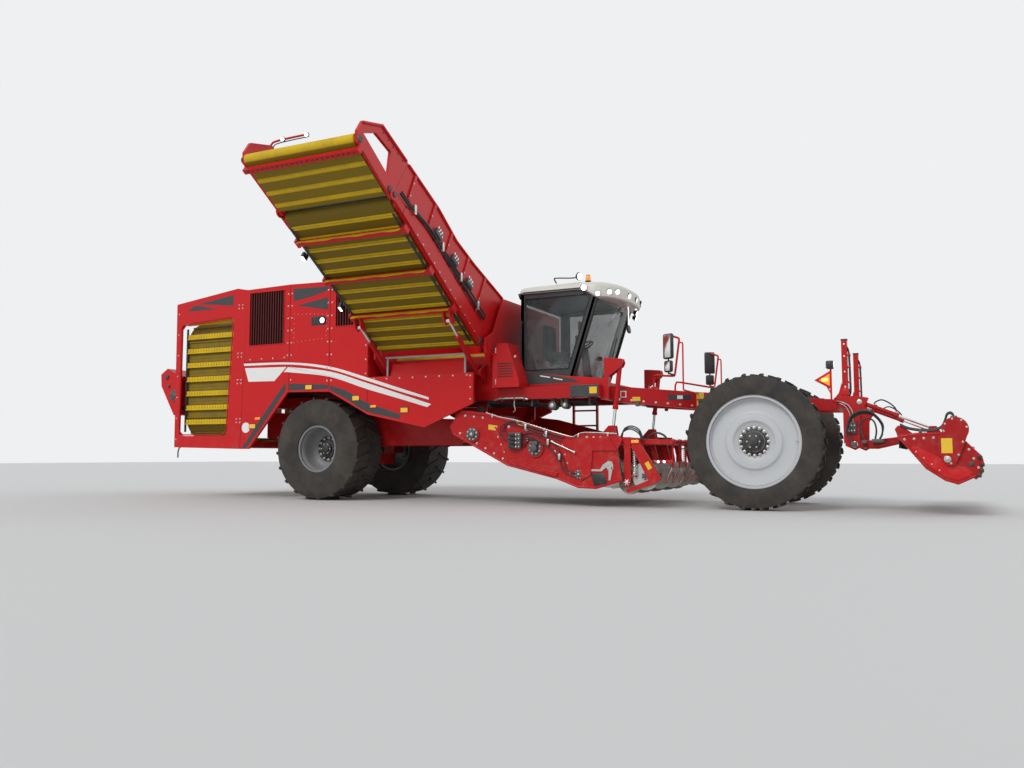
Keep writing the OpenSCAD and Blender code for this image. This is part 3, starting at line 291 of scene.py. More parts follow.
def cast(name, colour, rough=0.5, scale=140.0, dust=0.12, top=1.5, strength=0.15):
    """Moulded plastic or satin paint with a fine grain."""
    m = Maker(name)
    dull, roughness, _ = dusty(m, colour, top, base=dust, rough=rough, grain=6.0)
    grain = m.noise(m.place(), scale, 3)
    return m.finish(Base_Color=dull, Roughness=roughness.clamp(),
                    Normal=m.bump(grain, strength, 0.001, m.soft(0.004)))


def glass(name, tint, alpha):
    """Tinted safety glass with a dust film towards its lower edge."""
    m = Maker(name)
    place = m.place()
    film = m.noise(place, 5, 6, 0.6)
    low = 1 - m.ramp(m.part(place, "Z"), 2.25, 2.75)
    mask = (low * 0.55 + 0.12) * m.ramp(film, 0.3, 0.75)
    return m.finish(Base_Color=m.mix(mask, tint, (0.3, 0.3, 0.3)), Roughness=0.03 + mask * 0.4,
                    Alpha=(alpha + mask * 0.6).clamp(), Specular_IOR_Level=0.6)


def lamp_glow(name, colour, strength=1.0, rough=0.12):
    """A lens with fine vertical flutes that glows: on lamps this is their light, on the reflectors it is painted glow.
    """
    m = Maker(name)
    across = m.part(m.place(), "X") + m.part(m.place(), "Y")
    flutes = ((across * 90).fraction() - 0.5).size()
    return m.finish(Base_Color=m.mix(flutes, colour, scaled(colour, 0.7)), Roughness=rough,
                    Emission_Color=(*colour, 1), Emission_Strength=strength, Coat_Weight=0.6,
                    Normal=m.bump(flutes, 0.4, 0.002))


FINISHES = {}


def dress(key, *names):
    """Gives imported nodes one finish."""
    for name in names:
        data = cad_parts[name].data
        data.materials.clear()
        data.materials.append(FINISHES[key])


def piece(name, bm, key, body, smooth=True, replaces=()):
    """Makes a finished mesh into a piece on a CAD body."""
    bmesh.ops.recalc_face_normals(bm, faces=bm.faces)
    data = bpy.data.meshes.new(name)
    bm.to_mesh(data)
    bm.free()
    for k in [key] if isinstance(key, str) else key:
        data.materials.append(FINISHES[k])
    if smooth:
        data.shade_smooth()
        data.set_sharp_from_angle(angle=math.radians(35))
    obj = bpy.data.objects.new(name, data)
    bpy.context.scene.collection.objects.link(obj)
    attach(obj, body)
    if replaces:
        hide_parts(*replaces)
    return obj


def block(bm, lo, hi, bevel=0.0, index=0, turn=None):
    """A box from its lowest to its highest corner, with its edges broken."""
    lo, hi = Vector(lo), Vector(hi)
    made = bmesh.ops.create_cube(bm, size=1)["verts"]
    bmesh.ops.scale(bm, vec=hi - lo, verts=made)
    if turn is not None:
        bmesh.ops.transform(bm, matrix=turn.to_4x4(), verts=made)
    bmesh.ops.translate(bm, vec=(lo + hi) / 2, verts=made)
    shape(bm, made, bevel, index)


def slab(bm, centre, half, bevel=0.0, index=0, turn=None):
    """A box round its centre, given by half of its sides."""
    block(bm, centre - Vector(half), centre + Vector(half), bevel, index, turn)


def spanned(bm, a, b, bevel=0.0, index=0):
    """A box between any two opposite corners."""
    block(bm, [min(pair) for pair in zip(a, b)], [max(pair) for pair in zip(a, b)], bevel, index)


def shape(bm, verts, bevel, index, rims_only=False):
    """Gives a new solid its finish and breaks its edges, or only those of its round ends."""
    for f in {f for v in verts for f in v.link_faces}:
        f.material_index = index
    if bevel:
        edges = list({e for v in verts for e in v.link_edges})
        if rims_only:
            edges = [e for e in edges if any(len(f.verts) > 4 for f in e.link_faces)]
        bmesh.ops.bevel(bm, geom=edges, offset=bevel, offset_type="OFFSET", segments=2, profile=0.5,
                        affect="EDGES", material=-1)


def aimed(axis):
    """The turn from Z to an axis."""
    return Vector((0, 0, 1)).rotation_difference(Vector(axis).normalized()).to_matrix()


def drum(bm, centre, axis, r, depth, segments=24, bevel=0.0, index=0, r2=None):
    """A cylinder or cone round an axis through its centre."""
    made = bmesh.ops.create_cone(bm, cap_ends=True, segments=segments, radius1=r, radius2=r if r2 is None else r2,
                                 depth=depth)["verts"]
    bmesh.ops.transform(bm, matrix=Matrix.Translation(centre) @ aimed(axis).to_4x4(), verts=made)
    shape(bm, made, bevel, index, rims_only=True)


def blocks(bm, rows):
    """Boxes given from the axle by both corners, and what else a block takes."""
    for row in rows:
        block(bm, at(*row[:3]), at(*row[3:6]), *row[6:])


def stack(bm, foot, axis, rows):
    """Drums along one axis: how far out each stands, and what else a drum takes."""
    axis = Vector(axis).normalized()
    for out, *rest in rows:
        drum(bm, foot + axis * out, axis, *rest)


def bridge(bm, rows, ends=False):
    """Faces between closed rows of as many vertices each, and over both ends."""
    for a, b in zip(rows, rows[1:]):
        for k in range(len(a)):
            bm.faces.new((a[k - 1], a[k], b[k], b[k - 1]))
    if ends:
        bm.faces.new(rows[0])
        bm.faces.new(rows[-1])


def cap(bm, loop):
    """A row of faces between the two halves of a loop that mirror each other."""
    for i in range(len(loop) // 2 - 1):
        bm.faces.new((loop[i], loop[i + 1], loop[-2 - i], loop[-1 - i]))


def full_turn(bm, geom, steps):
    """A closed surface of revolution round Z."""
    bmesh.ops.spin(bm, geom=geom, cent=(0, 0, 0), axis=(0, 0, 1), angle=2 * math.pi, steps=steps, use_merge=True)


def bolt(bm, centre, axis, r=0.012, index=0):
    """A hexagon head on a washer."""
    axis = Vector(axis).normalized()
    drum(bm, Vector(centre) + axis * r * 0.12, axis, r * 1.6, r * 0.24, 12, index=index)
    drum(bm, Vector(centre) + axis * r * 0.6, axis, r, r * 0.8, 6, index=index)


def bolt_ring(bm, centre, axis, radius, count, r, index=0, start=0.0, u=(1, 0, 0), w=(0, 0, 1)):
    """Bolts at even steps round a centre."""
    for place in circle(centre, radius, count, start, u, w):
        bolt(bm, place, axis, r, index)


def plate(bm, points, normal, thick, index=0, bevel=0.0):
    """A flat outline, raised along its normal."""
    verts = [bm.verts.new(p) for p in points]
    face = bm.faces.new(verts)
    grown = bmesh.ops.extrude_face_region(bm, geom=[face])["geom"]
    top = [g for g in grown if isinstance(g, bmesh.types.BMVert)]
    bmesh.ops.translate(bm, vec=Vector(normal).normalized() * thick, verts=top)
    shape(bm, verts + top, bevel, index)


def pipe(bm, points, r, sides=10, index=0):
    """A round bar or hose along points, mitred at each."""
    points = [Vector(p) for p in points]
    rings = []
    side = None
    for i, p in enumerate(points):
        before = (p - points[i - 1]).normalized() if i else None
        after = (points[i + 1] - p).normalized() if i + 1 < len(points) else None
        along = ((before or after) + (after or before)).normalized()
        side = (along.orthogonal() if side is None else side - along * side.dot(along)).normalized()
        turn = Matrix((side, along.cross(side), along)).transposed().to_4x4()
        made = bmesh.ops.create_circle(bm, segments=sides, radius=r)["verts"]
        bmesh.ops.transform(bm, matrix=Matrix.Translation(p) @ turn, verts=made)
        rings.append(made)
    for a, b in zip(rings, rings[1:]):
        edges = [e for ring in (a, b) for e in {e for v in ring for e in v.link_edges}
                 if all(v in ring for v in e.verts)]
        for f in bmesh.ops.bridge_loops(bm, edges=edges)["faces"]:
            f.material_index = index
    for ring in (rings[0], rings[-1]):
        bm.faces.new(ring).material_index = index


def curved(points, per):
    """Points of a smooth line through the given ones."""
    pts = [Vector(p) for p in points]
    pts = [pts[0] * 2 - pts[1]] + pts + [pts[-1] * 2 - pts[-2]]
    out = []
    for i in range(1, len(pts) - 2):
        p0, p1, p2, p3 = pts[i - 1:i + 3]
        for k in range(per):
            t = k / per
            out.append(0.5 * (2 * p1 + (p2 - p0) * t + (2 * p0 - 5 * p1 + 4 * p2 - p3) * t * t
                              + (3 * p1 - p0 - 3 * p2 + p3) * t ** 3))
    return out + [pts[-2]]


class HarvesterColours(bpy.types.PropertyGroup):
    """Colours of the machine."""
    red: bpy.props.FloatVectorProperty(name="Red", description="Enamel of the body and frame",
                                       subtype="COLOR", size=3, default=(0.56, 0.008, 0.010))
    yellow: bpy.props.FloatVectorProperty(name="Yellow", description="Flights of the webs and belts",
                                          subtype="COLOR", size=3, default=(0.52, 0.345, 0.007))
    decor: bpy.props.FloatVectorProperty(name="Decor grey", description="Dark bands on the body",
                                         subtype="COLOR", size=3, default=(0.035, 0.038, 0.042))
    stripe: bpy.props.FloatVectorProperty(name="Stripe", description="White stripes and plates",
                                          subtype="COLOR", size=3, default=(0.80, 0.79, 0.77))
    rim: bpy.props.FloatVectorProperty(name="Rims", description="Paint of the wheel rims",
                                       subtype="COLOR", size=3, default=(0.52, 0.53, 0.54))
    roof: bpy.props.FloatVectorProperty(name="Roof", description="Moulding of the cab roof",
                                        subtype="COLOR", size=3, default=(0.62, 0.60, 0.55))


class HarvesterSizes(bpy.types.PropertyGroup):
    """Sizes of the trim."""
    bolt: bpy.props.FloatProperty(name="Bolt", description="Radius of a panel bolt's head",
                                  default=0.010, min=0.006, max=0.03, unit="LENGTH")
    decal: bpy.props.FloatProperty(name="Decal", description="How far a band stands off its panel",
                                   default=0.002, min=0.001, max=0.005, unit="LENGTH")
    hose: bpy.props.FloatProperty(name="Hose", description="Radius of a hydraulic hose",
                                  default=0.013, min=0.008, max=0.03, unit="LENGTH")
    floor: bpy.props.FloatProperty(name="Floor", description="Half of the floor's side",
                                   default=90.0, min=30, max=200, unit="LENGTH")


def colours():
    return bpy.context.scene.harvester_colours


def sizes():
    return bpy.context.scene.harvester_sizes


class HARVESTER_OT_finishes(bpy.types.Operator):
    """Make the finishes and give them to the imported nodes"""
    bl_idname = "harvester.finishes"
    bl_label = "Finishes"

    def execute(self, context):
        c = colours()
        FINISHES.update({
            "red": paint("red enamel", tuple(c.red)),
            "dull_red": paint("red enamel of the underframe", scaled(c.red, 0.82), 0.42, 1.9, 0.1, 0.6),
            "worn_red": paint("field-worn red", scaled(c.red, 0.66), 0.46, 2.2, 0.06, 0.7, 0.3),
            "maroon": paint("dark slat paint", (0.085, 0.010, 0.010), 0.45, 1.5, 0.05, 0.2),
            "decor": cast("dark decor film", tuple(c.decor), 0.32, 220, 0.1, 1.6, 0.05),
            "white": cast("white stripe film", tuple(c.stripe), 0.35, 220, 0.06, 1.6, 0.05),
            "yellow": web_finish("yellow flights", tuple(c.yellow)),
            # The belt and head belt are darkened off their flights' crests as painted shade between the flights.
            "belt": web_finish("yellow belt and flights", tuple(c.yellow), 0.4, on_flights(0.094)),
            "head_belt": web_finish("yellow head belt and flights", scaled(c.yellow, 1.3), 0.3,
                                    on_flights(0.086, 4.40)),
            "ring": web_finish("ring web", scaled(c.yellow, 0.5), 0.8),
            "bright_yellow": web_finish("bright flaps", scaled(c.yellow, 1.3), 0.25),
            # Reflectors are no lamps: their slight glow is painted glow.
            "reflector": lamp_glow("yellow reflector with painted glow", (0.85, 0.45, 0.02), 0.15, 0.25),
            "ruby": lamp_glow("red lens", (0.55, 0.01, 0.01), 0.2),
            "lit": lamp_glow("lit lamp", (1.0, 0.98, 0.94), 2.2, 0.1),
            "rods": metal("worn web rods", (0.34, 0.30, 0.25), 0.4, 0.8, 0.75, 5),
            "rim": paint("rim paint", tuple(c.rim), 0.42, 1.3, 0.1, 0.15, 0.06),
            # Rear rims: the rim colour darkened to 0.42 is painted shade of the wheel's shadow under the body; the
            # higher dust line is dust.
            "rear_rim": paint("muddy rim paint", scaled(c.rim, 0.42), 0.5, 2.0, 0.05, 0.3, 0.3),
            "tyre": rubber("dusty tyre rubber", (0.034, 0.031, 0.029), (0.115, 0.098, 0.080), 0.55, 3.0),
            "black": cast("black plastic", (0.018, 0.018, 0.019), 0.45, 160, 0.14),
            "iron": metal("dark casting", (0.10, 0.10, 0.105), 0.5, 0.5, 0.5),
            "steel": metal("steel polished by soil", (0.55, 0.54, 0.51), 0.26, 1.0, 0.3),
            "chrome": metal("chromed rod", (0.82, 0.83, 0.84), 0.1, 1.0, 0.08),
            "grey": paint("grey paint", (0.33, 0.34, 0.345), 0.4, 1.6, 0.1, 0.3),
            "pillar": cast("dark pillar paint", (0.028, 0.030, 0.032), 0.34, 180, 0.1, 1.6, 0.06),
            "roof": cast("roof moulding", tuple(c.roof), 0.4, 90, 0.12, 1.6, 0.1),
            "glass": glass("tinted glass", (0.05, 0.065, 0.065), 0.34),
            "orange": lamp_glow("orange lens", (0.95, 0.28, 0.02), 0.35),
            "clear": lamp_glow("clear lens", (0.85, 0.87, 0.9), 0.6, 0.06),
            "amber": lamp_glow("lit amber lens", (1.0, 0.5, 0.06), 3.0, 0.15),
            "hub": cast("hub paint", (0.022, 0.022, 0.024), 0.5, 120, 0.2),
            "sign": cast("blank yellow plate", (0.80, 0.50, 0.02), 0.4, 200, 0.12, 1.7, 0.05),
            "seat": cast("seat cloth", (0.03, 0.03, 0.035), 0.8, 900, 0.0, 1.6, 0.5),
        })
        dress("red", "side_panel_right", "side_panel_left", "ring_frame", "tail_hood", "bunker", "body_inner",
              "elevator_frame", "elevator_head", "cab_skirt", "side_hood")
        dress("worn_red", "topper_hood", "topper_barrels")
        dress("dull_red", "main_frame", "neck", "tow_jaw", "front_axle", "rear_axle", "web_channel", "dig_frame",
              "dig_barrels", "elevator_barrels", "deck_ladder")
        dress("maroon", "grilles")
        dress("ring", "ring_elevator")
        dress("yellow", "bunker_floor")
        dress("belt", "elevator_belt")
        dress("head_belt", "head_belt")
        dress("rods", "sieving_web", "dig_web")
        dress("rim", "front_rim_left", "front_rim_right")
        dress("rear_rim", "rear_rim_left", "rear_rim_right")
        dress("tyre", "front_tyre_left", "front_tyre_right", "rear_tyre_left", "rear_tyre_right")
        dress("iron", "engine", "knuckle_left", "knuckle_right", "tie_rod")
        dress("chrome", "dig_rods", "elevator_rods", "topper_rods")
        dress("steel", "dig_shares", "disc_coulters")
        dress("rods", "ridge_rollers")
        dress("black", "mirrors", "topper_rotor")
        dress("grey", "handrails")
        dress("pillar", "cab_shell", "cab_door")
        dress("roof", "cab_roof")
        dress("glass", "cab_glass", "door_glass")
        dress("seat", "cab_seat")
        dress("clear", "lamps")
        return {"FINISHED"}


def on_side(x, z, side, out=0.0):
    """A place on a side of the body, so far out from its sheet."""
    return at(x, side * (out - SIDE_Y), z)


def film(bm, outline, side, index=0, thick=None):
    """A flat outline in X and Z, laid on the body's side with its back sunk a little into the sheet."""
    sunk = 0.001
    thick = (thick or sizes().decal) + sunk
    plate(bm, [on_side(x, z, side, -sunk) for x, z in outline], (0, side, 0), thick, index)


def band(top, bottom):
    """The outline between two smooth lines in X and Z."""
    upper, lower = (curved([(x, 0, z) for x, z in line], 5) for line in (top, bottom))
    return [(p.x, p.z) for p in upper + lower[::-1]]


def rectangle(x, z, width, height):
    return [(x - width / 2, z - height / 2), (x + width / 2, z - height / 2),
            (x + width / 2, z + height / 2), (x - width / 2, z + height / 2)]


def bolt_row(bm, a, b, count, axis, r=None, index=0):
    """Bolt heads at even steps from a to b."""
    a, b = Vector(a), Vector(b)
    for i in range(count):
        bolt(bm, a.lerp(b, i / max(count - 1, 1)), axis, r or sizes().bolt, index)


def rivet(bm, centre, axis, r=0.009, index=0):
    """A low round head."""
    drum(bm, Vector(centre) + Vector(axis) * r * 0.3, axis, r, r * 0.6, 10, index=index, r2=r * 0.55)


class HARVESTER_OT_decor(bpy.types.Operator):
    """Lay the stripes and dark bands on the body's sides"""
    bl_idname = "harvester.decor"
    bl_label = "Stripes and bands"

    STRIPES = (
        band([(-9.66, 2.61), (-8.5, 2.58), (-7.58, 2.46), (-6.76, 2.23), (-6.04, 2.01), (-5.45, 1.83)],
             [(-9.65, 2.565), (-8.5, 2.54), (-7.58, 2.41), (-6.76, 2.17), (-6.04, 1.95), (-5.45, 1.79)]),
        band([(-8.56, 2.50), (-8.5, 2.49), (-7.58, 2.37), (-6.76, 2.13), (-6.04, 1.91), (-5.40, 1.71)],
             [(-8.67, 2.40), (-8.49, 2.39), (-7.58, 2.27), (-6.76, 2.02), (-6.04, 1.82), (-5.48, 1.66)]),
    )
    DARK = (
        [(-10.90, 3.88), (-9.97, 3.99), (-9.97, 3.78)],
        [(-11.21, 3.75), (-10.97, 3.86), (-10.40, 3.74)],
        [(-8.47, 3.99), (-7.64, 3.97), (-7.64, 3.90), (-8.03, 3.81), (-8.46, 3.75)],
        [(-8.37, 3.66), (-7.65, 3.77), (-7.65, 3.53)],
        [(-7.55, 3.97), (-6.80, 3.93), (-6.80, 3.90), (-7.55, 3.86)],
        [(-9.66, 0.965), (-9.30, 1.42), (-8.61, 2.22), (-8.61, 2.06), (-9.23, 1.32), (-9.56, 0.965)],
        [(-8.53, 2.18), (-7.62, 2.13), (-7.62, 2.05), (-8.53, 2.05)],
        band([(-7.58, 2.12), (-7.2, 2.0), (-6.76, 1.78), (-6.04, 1.55)],
             [(-7.58, 2.03), (-7.2, 1.85), (-6.76, 1.62), (-6.04, 1.46)]),
    )

    def execute(self, context):
        for side, name in ((-1, "right"), (1, "left")):
            bm = bmesh.new()
            for outline in self.STRIPES:
                film(bm, outline, side)
            for outline in self.DARK:
                film(bm, outline, side, 1)
            if side < 0:
                film(bm, [(-9.63, 2.52), (-8.60, 2.50), (-8.89, 2.24), (-9.53, 2.25)], side)
                drum(bm, on_side(-9.57, 1.36, side, 0.001), (0, 1, 0), 0.10, 0.006, 40)
            piece("decor_" + name, bm, ("white", "decor"), "chassis", smooth=False)
        return {"FINISHED"}


class HARVESTER_OT_body(bpy.types.Operator):
    """Add the body's bolts, reflectors, lamps, window edges and flaps"""
    bl_idname = "harvester.body"
    bl_label = "Body fittings"

    def execute(self, context):
        for side, name in ((-1, "right"), (1, "left")):
            self.fasteners(side, name)
            self.markers(side, name)
            self.frames(side, name)
            self.flaps(side, name)
        self.tail()
        return {"FINISHED"}

    def fasteners(self, side, name):
        bm = bmesh.new()
        out = (0, side, 0)
        for z in (3.74, 2.78, 2.26, 1.50):
            for x, dz in rectangle(-9.77, 0, 0.09, 0.07):
                bolt(bm, on_side(x, z + dz, side), out, sizes().bolt)
        for x, z0, z1, n in ((-8.585, 2.72, 3.9, 6), (-8.495, 2.25, 3.9, 8), (-7.645, 2.2, 3.9, 8),
                             (-7.555, 2.2, 3.9, 8), (-6.785, 2.3, 3.85, 7), (-4.63, 1.78, 2.18, 3)):
            bolt_row(bm, on_side(x, z0, side), on_side(x, z1, side), n, out)
        bolt_row(bm, on_side(-9.5, 2.68, side), on_side(-8.66, 2.68, side), 4, out)
        bolt_row(bm, on_side(-6.6, 2.19, side), on_side(-4.7, 2.19, side), 8, out)
        bolt_row(bm, on_side(-11.41, 1.15, side), on_side(-11.41, 3.7, side), 7, out)
        for x, z, dx, dz, n in ((-8.44, 3.50, 0.095, -0.006, 9), (-8.44, 2.96, 0.095, 0.005, 9),
                                (-8.44, 3.05, 0, 0.09, 5), (-7.68, 3.05, 0, 0.09, 5)):
            for i in range(n):
                rivet(bm, on_side(x + dx * i, z + dz * i, side), out)
        piece("body_bolts_" + name, bm, "steel", "chassis", smooth=False)

    def markers(self, side, name):
        bm = bmesh.new()
        # Reflectors in black surrounds; their glow is painted light.
        for x, z in ((-8.065, 2.095), (-6.99, 1.86), (-9.405, 1.385), (-5.95, 1.62)):
            film(bm, rectangle(x, z, 0.17, 0.105), side, 2, 0.006)
            film(bm, rectangle(x, z, 0.145, 0.08), side, 0, 0.009)
        for x, z in ((-9.27, 1.53), (-6.60, 1.70)):
            spanned(bm, on_side(x - 0.06, z - 0.022, side), on_side(x + 0.06, z + 0.022, side, 0.028), 0.008, 1)
        # Work lamp on a flat black film that stands for its recess; the film's black is painted shade of the recess
        film(bm, rectangle(-7.86, 3.335, 0.34, 0.17), side, 2, 0.004)
        drum(bm, on_side(-7.76, 3.335, side, 0.012), (0, side, 0), 0.062, 0.028, 28, 0.006, 2)
        drum(bm, on_side(-7.76, 3.335, side, 0.028), (0, side, 0), 0.050, 0.008, 28, 0.002, 3)
        piece("body_markers_" + name, bm, ("reflector", "orange", "black", "lit"), "chassis")

    def frames(self, side, name):
        """Turned-in edges round the grilles and the web's window, and the skirt's turned lower edge."""
        bm = bmesh.new()
        for x0, z0, x1, z1 in ((-9.54, 2.95, -8.68, 3.99), (-7.47, 3.20, -6.86, 3.90)):
            ring = [(x0, z0), (x1, z0), (x1, z1), (x0, z1), (x0, z0)]
            for ends in zip(ring, ring[1:]):
                pipe(bm, [on_side(x, z, side, 0.001) for x, z in ends], 0.009, 8)
        window = [(-11.23, 1.24), (-10.18, 1.22), (-10.07, 1.33), (-9.96, 3.42), (-10.05, 3.53), (-11.22, 3.46),
                  (-11.32, 3.36), (-11.33, 1.33), (-11.23, 1.24)]
        skirt = [(-9.49, 0.965), (-8.56, 2.025), (-7.585, 2.005), (-6.72, 1.565), (-5.54, 1.318), (-4.585, 1.708)]
        for line, out in ((window, 0.001), (skirt, -0.004)):
            pipe(bm, [on_side(x, z, side, out) for x, z in line], 0.012, 8)
        piece("body_edges_" + name, bm, "red", "chassis")

    def flaps(self, side, name):
        """Bright fingered flaps on the ring web's flights, where the window shows them."""
        bm = bmesh.new()
        middle, pitch = 2.324, 0.288
        for k in range(-3, 5):
            z = middle + pitch * k
            for i in range(18):
                x = -11.255 + 0.0715 * i
                spanned(bm, on_side(x + 0.003, z, side, -0.117), on_side(x + 0.0685, z + 0.088, side, -0.101), 0.004)
            spanned(bm, on_side(-11.26, z - 0.014, side, -0.115), on_side(-9.99, z + 0.012, side, -0.092), 0.005)
        piece("ring_flaps_" + name, bm, "bright_yellow", "chassis")
        bm = bmesh.new()
        for x in (-11.275, -9.985):
            spanned(bm, on_side(x - 0.02, 1.30, side, -0.125), on_side(x + 0.02, 3.40, side, -0.098), 0.006)
        piece("ring_rubber_" + name, bm, "black", "chassis")

    def tail(self):
        """Lamps, hoses and bolts at the rear end."""
        bm = bmesh.new()
        for y in (-1.45, 1.45):
            blocks(bm, ((-11.515, y - 0.12, 1.70, -11.478, y + 0.12, 1.84, 0.01, 2),
                        (-11.53, y - 0.105, 1.715, -11.51, y - 0.02, 1.825, 0.006, 1),
                        (-11.53, y - 0.005, 1.715, -11.51, y + 0.105, 1.825, 0.006)))
            stack(bm, at(-11.50, y, 3.60), (-1, 0, 0),
                  ((0, 0.055, 0.05, 24, 0.006, 2), (0.028, 0.046, 0.01, 24, 0.002, 3)))
        for z in (1.70, 2.39):
            bolt_row(bm, at(-11.482, -1.55, z), at(-11.482, 1.55, z), 12, (-1, 0, 0), index=4)
        piece("tail_lamps", bm, ("orange", "ruby", "black", "clear", "steel"), "chassis")
        bm = bmesh.new()
        for side in (-1, 1):
            for x, z, r in ((-11.86, 2.44, 0.05), (-11.80, 2.25, 0.035), (-11.62, 2.06, 0.12)):
                stack(bm, at(x, side * 1.568, z), (0, side, 0),
                      ((0, r, 0.03, 32, 0.005), (0.018, r * 0.45, 0.02, 20, 0.003)))
                bolt_ring(bm, at(x, side * 1.583, z), (0, side, 0), r * 0.75, 6, r * 0.09)
        pipe(bm, at_y(-1.5, ((-11.47, 1.0), (-11.52, 0.98), (-11.55, 0.9), (-11.55, 0.78))), 0.014, 10)
        piece("tail_bearings", bm, "iron", "chassis")


class HARVESTER_OT_elevator(bpy.types.Operator):
    """Add the elevator's flights, bearings, hoses, valves, wipers and lamps"""
    bl_idname = "harvester.elevator"
    bl_label = "Elevator fittings"

    # From flight to flight along the belt, and where the lamp's arm stands
    PITCH = 0.24
    ARM_U = 4.15

    def execute(self, context):
        self.flights()
        self.bearings()
        self.hoses()
        self.wipers()
        self.head()
        self.lamps()
        return {"FINISHED"}

    def flights(self):
        """Fingered rubber flights on both runs of the belts, and black strips beside them that stand partly for rubber
        seals and partly for painted shade along the belt's edges.
        """
        for name, body, u0, count, r, tall in (("belt_flights", "elevator", 0.23, 13, 0.09, 0.031),
                                               ("head_flights", "elevator_tip", 3.58, 4, 0.082, 0.0148)):
            bm = bmesh.new()
            for i in range(count):
                for side in (-1, 1):
                    for k in range(33):
                        x = -0.968 + 0.0587 * k
                        self.finger(bm, x, x + 0.0555, u0 + self.PITCH * i, side, r, tall)
            piece(name, bm, "bright_yellow", body, smooth=False)
        bm = bmesh.new()
        for side in (-1, 1):
            # Black strips along the lower run's edges: partly rubber seals, partly painted shade where the side boards
            # shadow the belt.
            for i in range(12):
                u = 0.41 + self.PITCH * i
                slab(bm, on_belt(side * 0.955, u, -0.131), (0.024, self.PITCH / 2, 0.004), 0.002, 0, BELT_TURN)
        # Strip that closes the gap to the head section
        slab(bm, on_belt(0, 3.389, 0.0), (0.97, 0.022, 0.005), 0.002, 0, BELT_TURN)
        piece("belt_seals_and_edge_shade", bm, "black", "elevator")

    def finger(self, bm, x0, x1, u, side, r, tall):
        """One wedge of a flight on the belt's upper or lower run."""
        base, crest = r - 0.003, r + tall
        section = [(u - 0.050, base), (u - 0.018, crest), (u + 0.010, crest), (u + 0.040, base)]
        ends = [[bm.verts.new(on_belt(x, a, side * w)) for a, w in section] for x in (x0, x1)]
        bridge(bm, ends, True)

    def bearings(self):
        bm = bmesh.new()
        for side in (-1, 1):
            for u in (0.15, 3.27):
                self.flange(bm, side, u, 1.038, 0.058, 0.02, 1.046, 0.04)
            for i in range(12):
                bolt(bm, on_belt(side * 1.0595, 0.42 + 0.2 * i, -0.02), (side, 0, 0), sizes().bolt, 1)
            for u in (0.52, 1.15, 1.78, 2.40, 3.05):
                for du, w in ((0.045, 0.32), (0.085, 0.55)):
                    bolt(bm, on_belt(side * 1.0555, u + du, w), (side, 0, 0), sizes().bolt, 1)
        piece("elevator_bearings", bm, ("iron", "steel"), "elevator")

    def flange(self, bm, side, u, x, r, depth, bolts_x, ring):
        """A flanged bearing on the elevator's side with four bolts."""
        drum(bm, on_belt(side * x, u, 0), (1, 0, 0), r, depth, 24, 0.004)
        bolt_ring(bm, on_belt(side * bolts_x, u, 0), (side, 0, 0), ring, 4, 0.008, 0, 0.5, ALONG_BELT, OFF_BELT)

    def hoses(self):
        """Hoses in clamps along the front board's lower beam, and the valves they feed."""
        bm = bmesh.new()
        line = [(0.30, 0.33), (0.9, 0.31), (1.72, 0.29), (2.40, 0.27), (2.78, 0.20), (3.10, 0.12), (3.32, 0.10)]
        for k in range(4):
            route = []
            for u, w in line:
                x = 1.075 + 0.012 * (k % 2) + 0.004 * math.sin(3 * u + k)
                sag = 0.012 * math.sin(2.3 * u + 2 * k)
                route.append(on_belt(x, u, w + 0.032 * k - 0.02 * k * (u / 3.3) + sag))
            pipe(bm, curved(route, 5), sizes().hose, 10, 0)
        for u, w in ((0.6, 0.37), (1.3, 0.35), (2.0, 0.33), (2.9, 0.19)):
            block(bm, on_belt(1.056, u, w - 0.07), on_belt(1.112, u, w - 0.07) + Vector((0.0, 0.05, 0.15)), 0.005, 1)
        for u, w in ((1.05, 0.47), (1.62, 0.44), (2.22, 0.41)):
            slab(bm, on_belt(1.085, u, w), (0.028, 0.10, 0.055), 0.008, 2, BELT_TURN)
            for i in (-1, 0, 1):
                drum(bm, on_belt(1.085, u + 0.06 * i, w + 0.08), OFF_BELT, 0.017, 0.07, 16, 0.003, 1)
                drum(bm, on_belt(1.118, u + 0.06 * i, w), (1, 0, 0), 0.014, 0.02, 6, 0.0, 3)
        piece("elevator_hoses", bm, ("black", "steel", "iron", "chrome"), "elevator")

    def wipers(self):
        """Yellow strips under the cross members, a little wavy as rubber hangs."""
        bm = bmesh.new()
        for u in (1.10, 1.98, 2.85):
            rows = []
            for i in range(33):
                x = -0.96 + 0.06 * i
                sway = 0.008 * math.sin(9 * x + u) + 0.005 * math.sin(21 * x)
                section = ((0.05, -0.168), (0.058, -0.168), (0.083 + sway, -0.235), (0.075 + sway, -0.235))
                rows.append([bm.verts.new(on_belt(x, u + du, w)) for du, w in section])
            bridge(bm, rows, True)
        piece("elevator_wipers", bm, "bright_yellow", "elevator")

    def head(self):
        bm = bmesh.new()
        # Black discs stand for holes at the head; their black is painted shade inside the holes.
        for i in range(22):
            drum(bm, on_belt(-0.945 + 0.09 * i, 4.305, -0.161), OFF_BELT, 0.017, 0.004, 16)
        piece("head_hole_shade_discs", bm, "black", "elevator_tip", smooth=False)
        bm = bmesh.new()
        for side in (-1, 1):
            for u, r in ((3.50, 0.05), (4.40, 0.055)):
                self.flange(bm, side, u, 1.039, r, 0.022, 1.048, 0.036)
            drum(bm, on_belt(side * 1.07, 3.4, 0), (1, 0, 0), 0.042, 0.02, 24, 0.004)
            for i in range(6):
                bolt(bm, on_belt(side * 1.03, 3.52 + 0.14 * i, 0.62 - 0.017 * i), (side, 0, 0), 0.011)
        piece("head_bearings", bm, "iron", "elevator_tip")

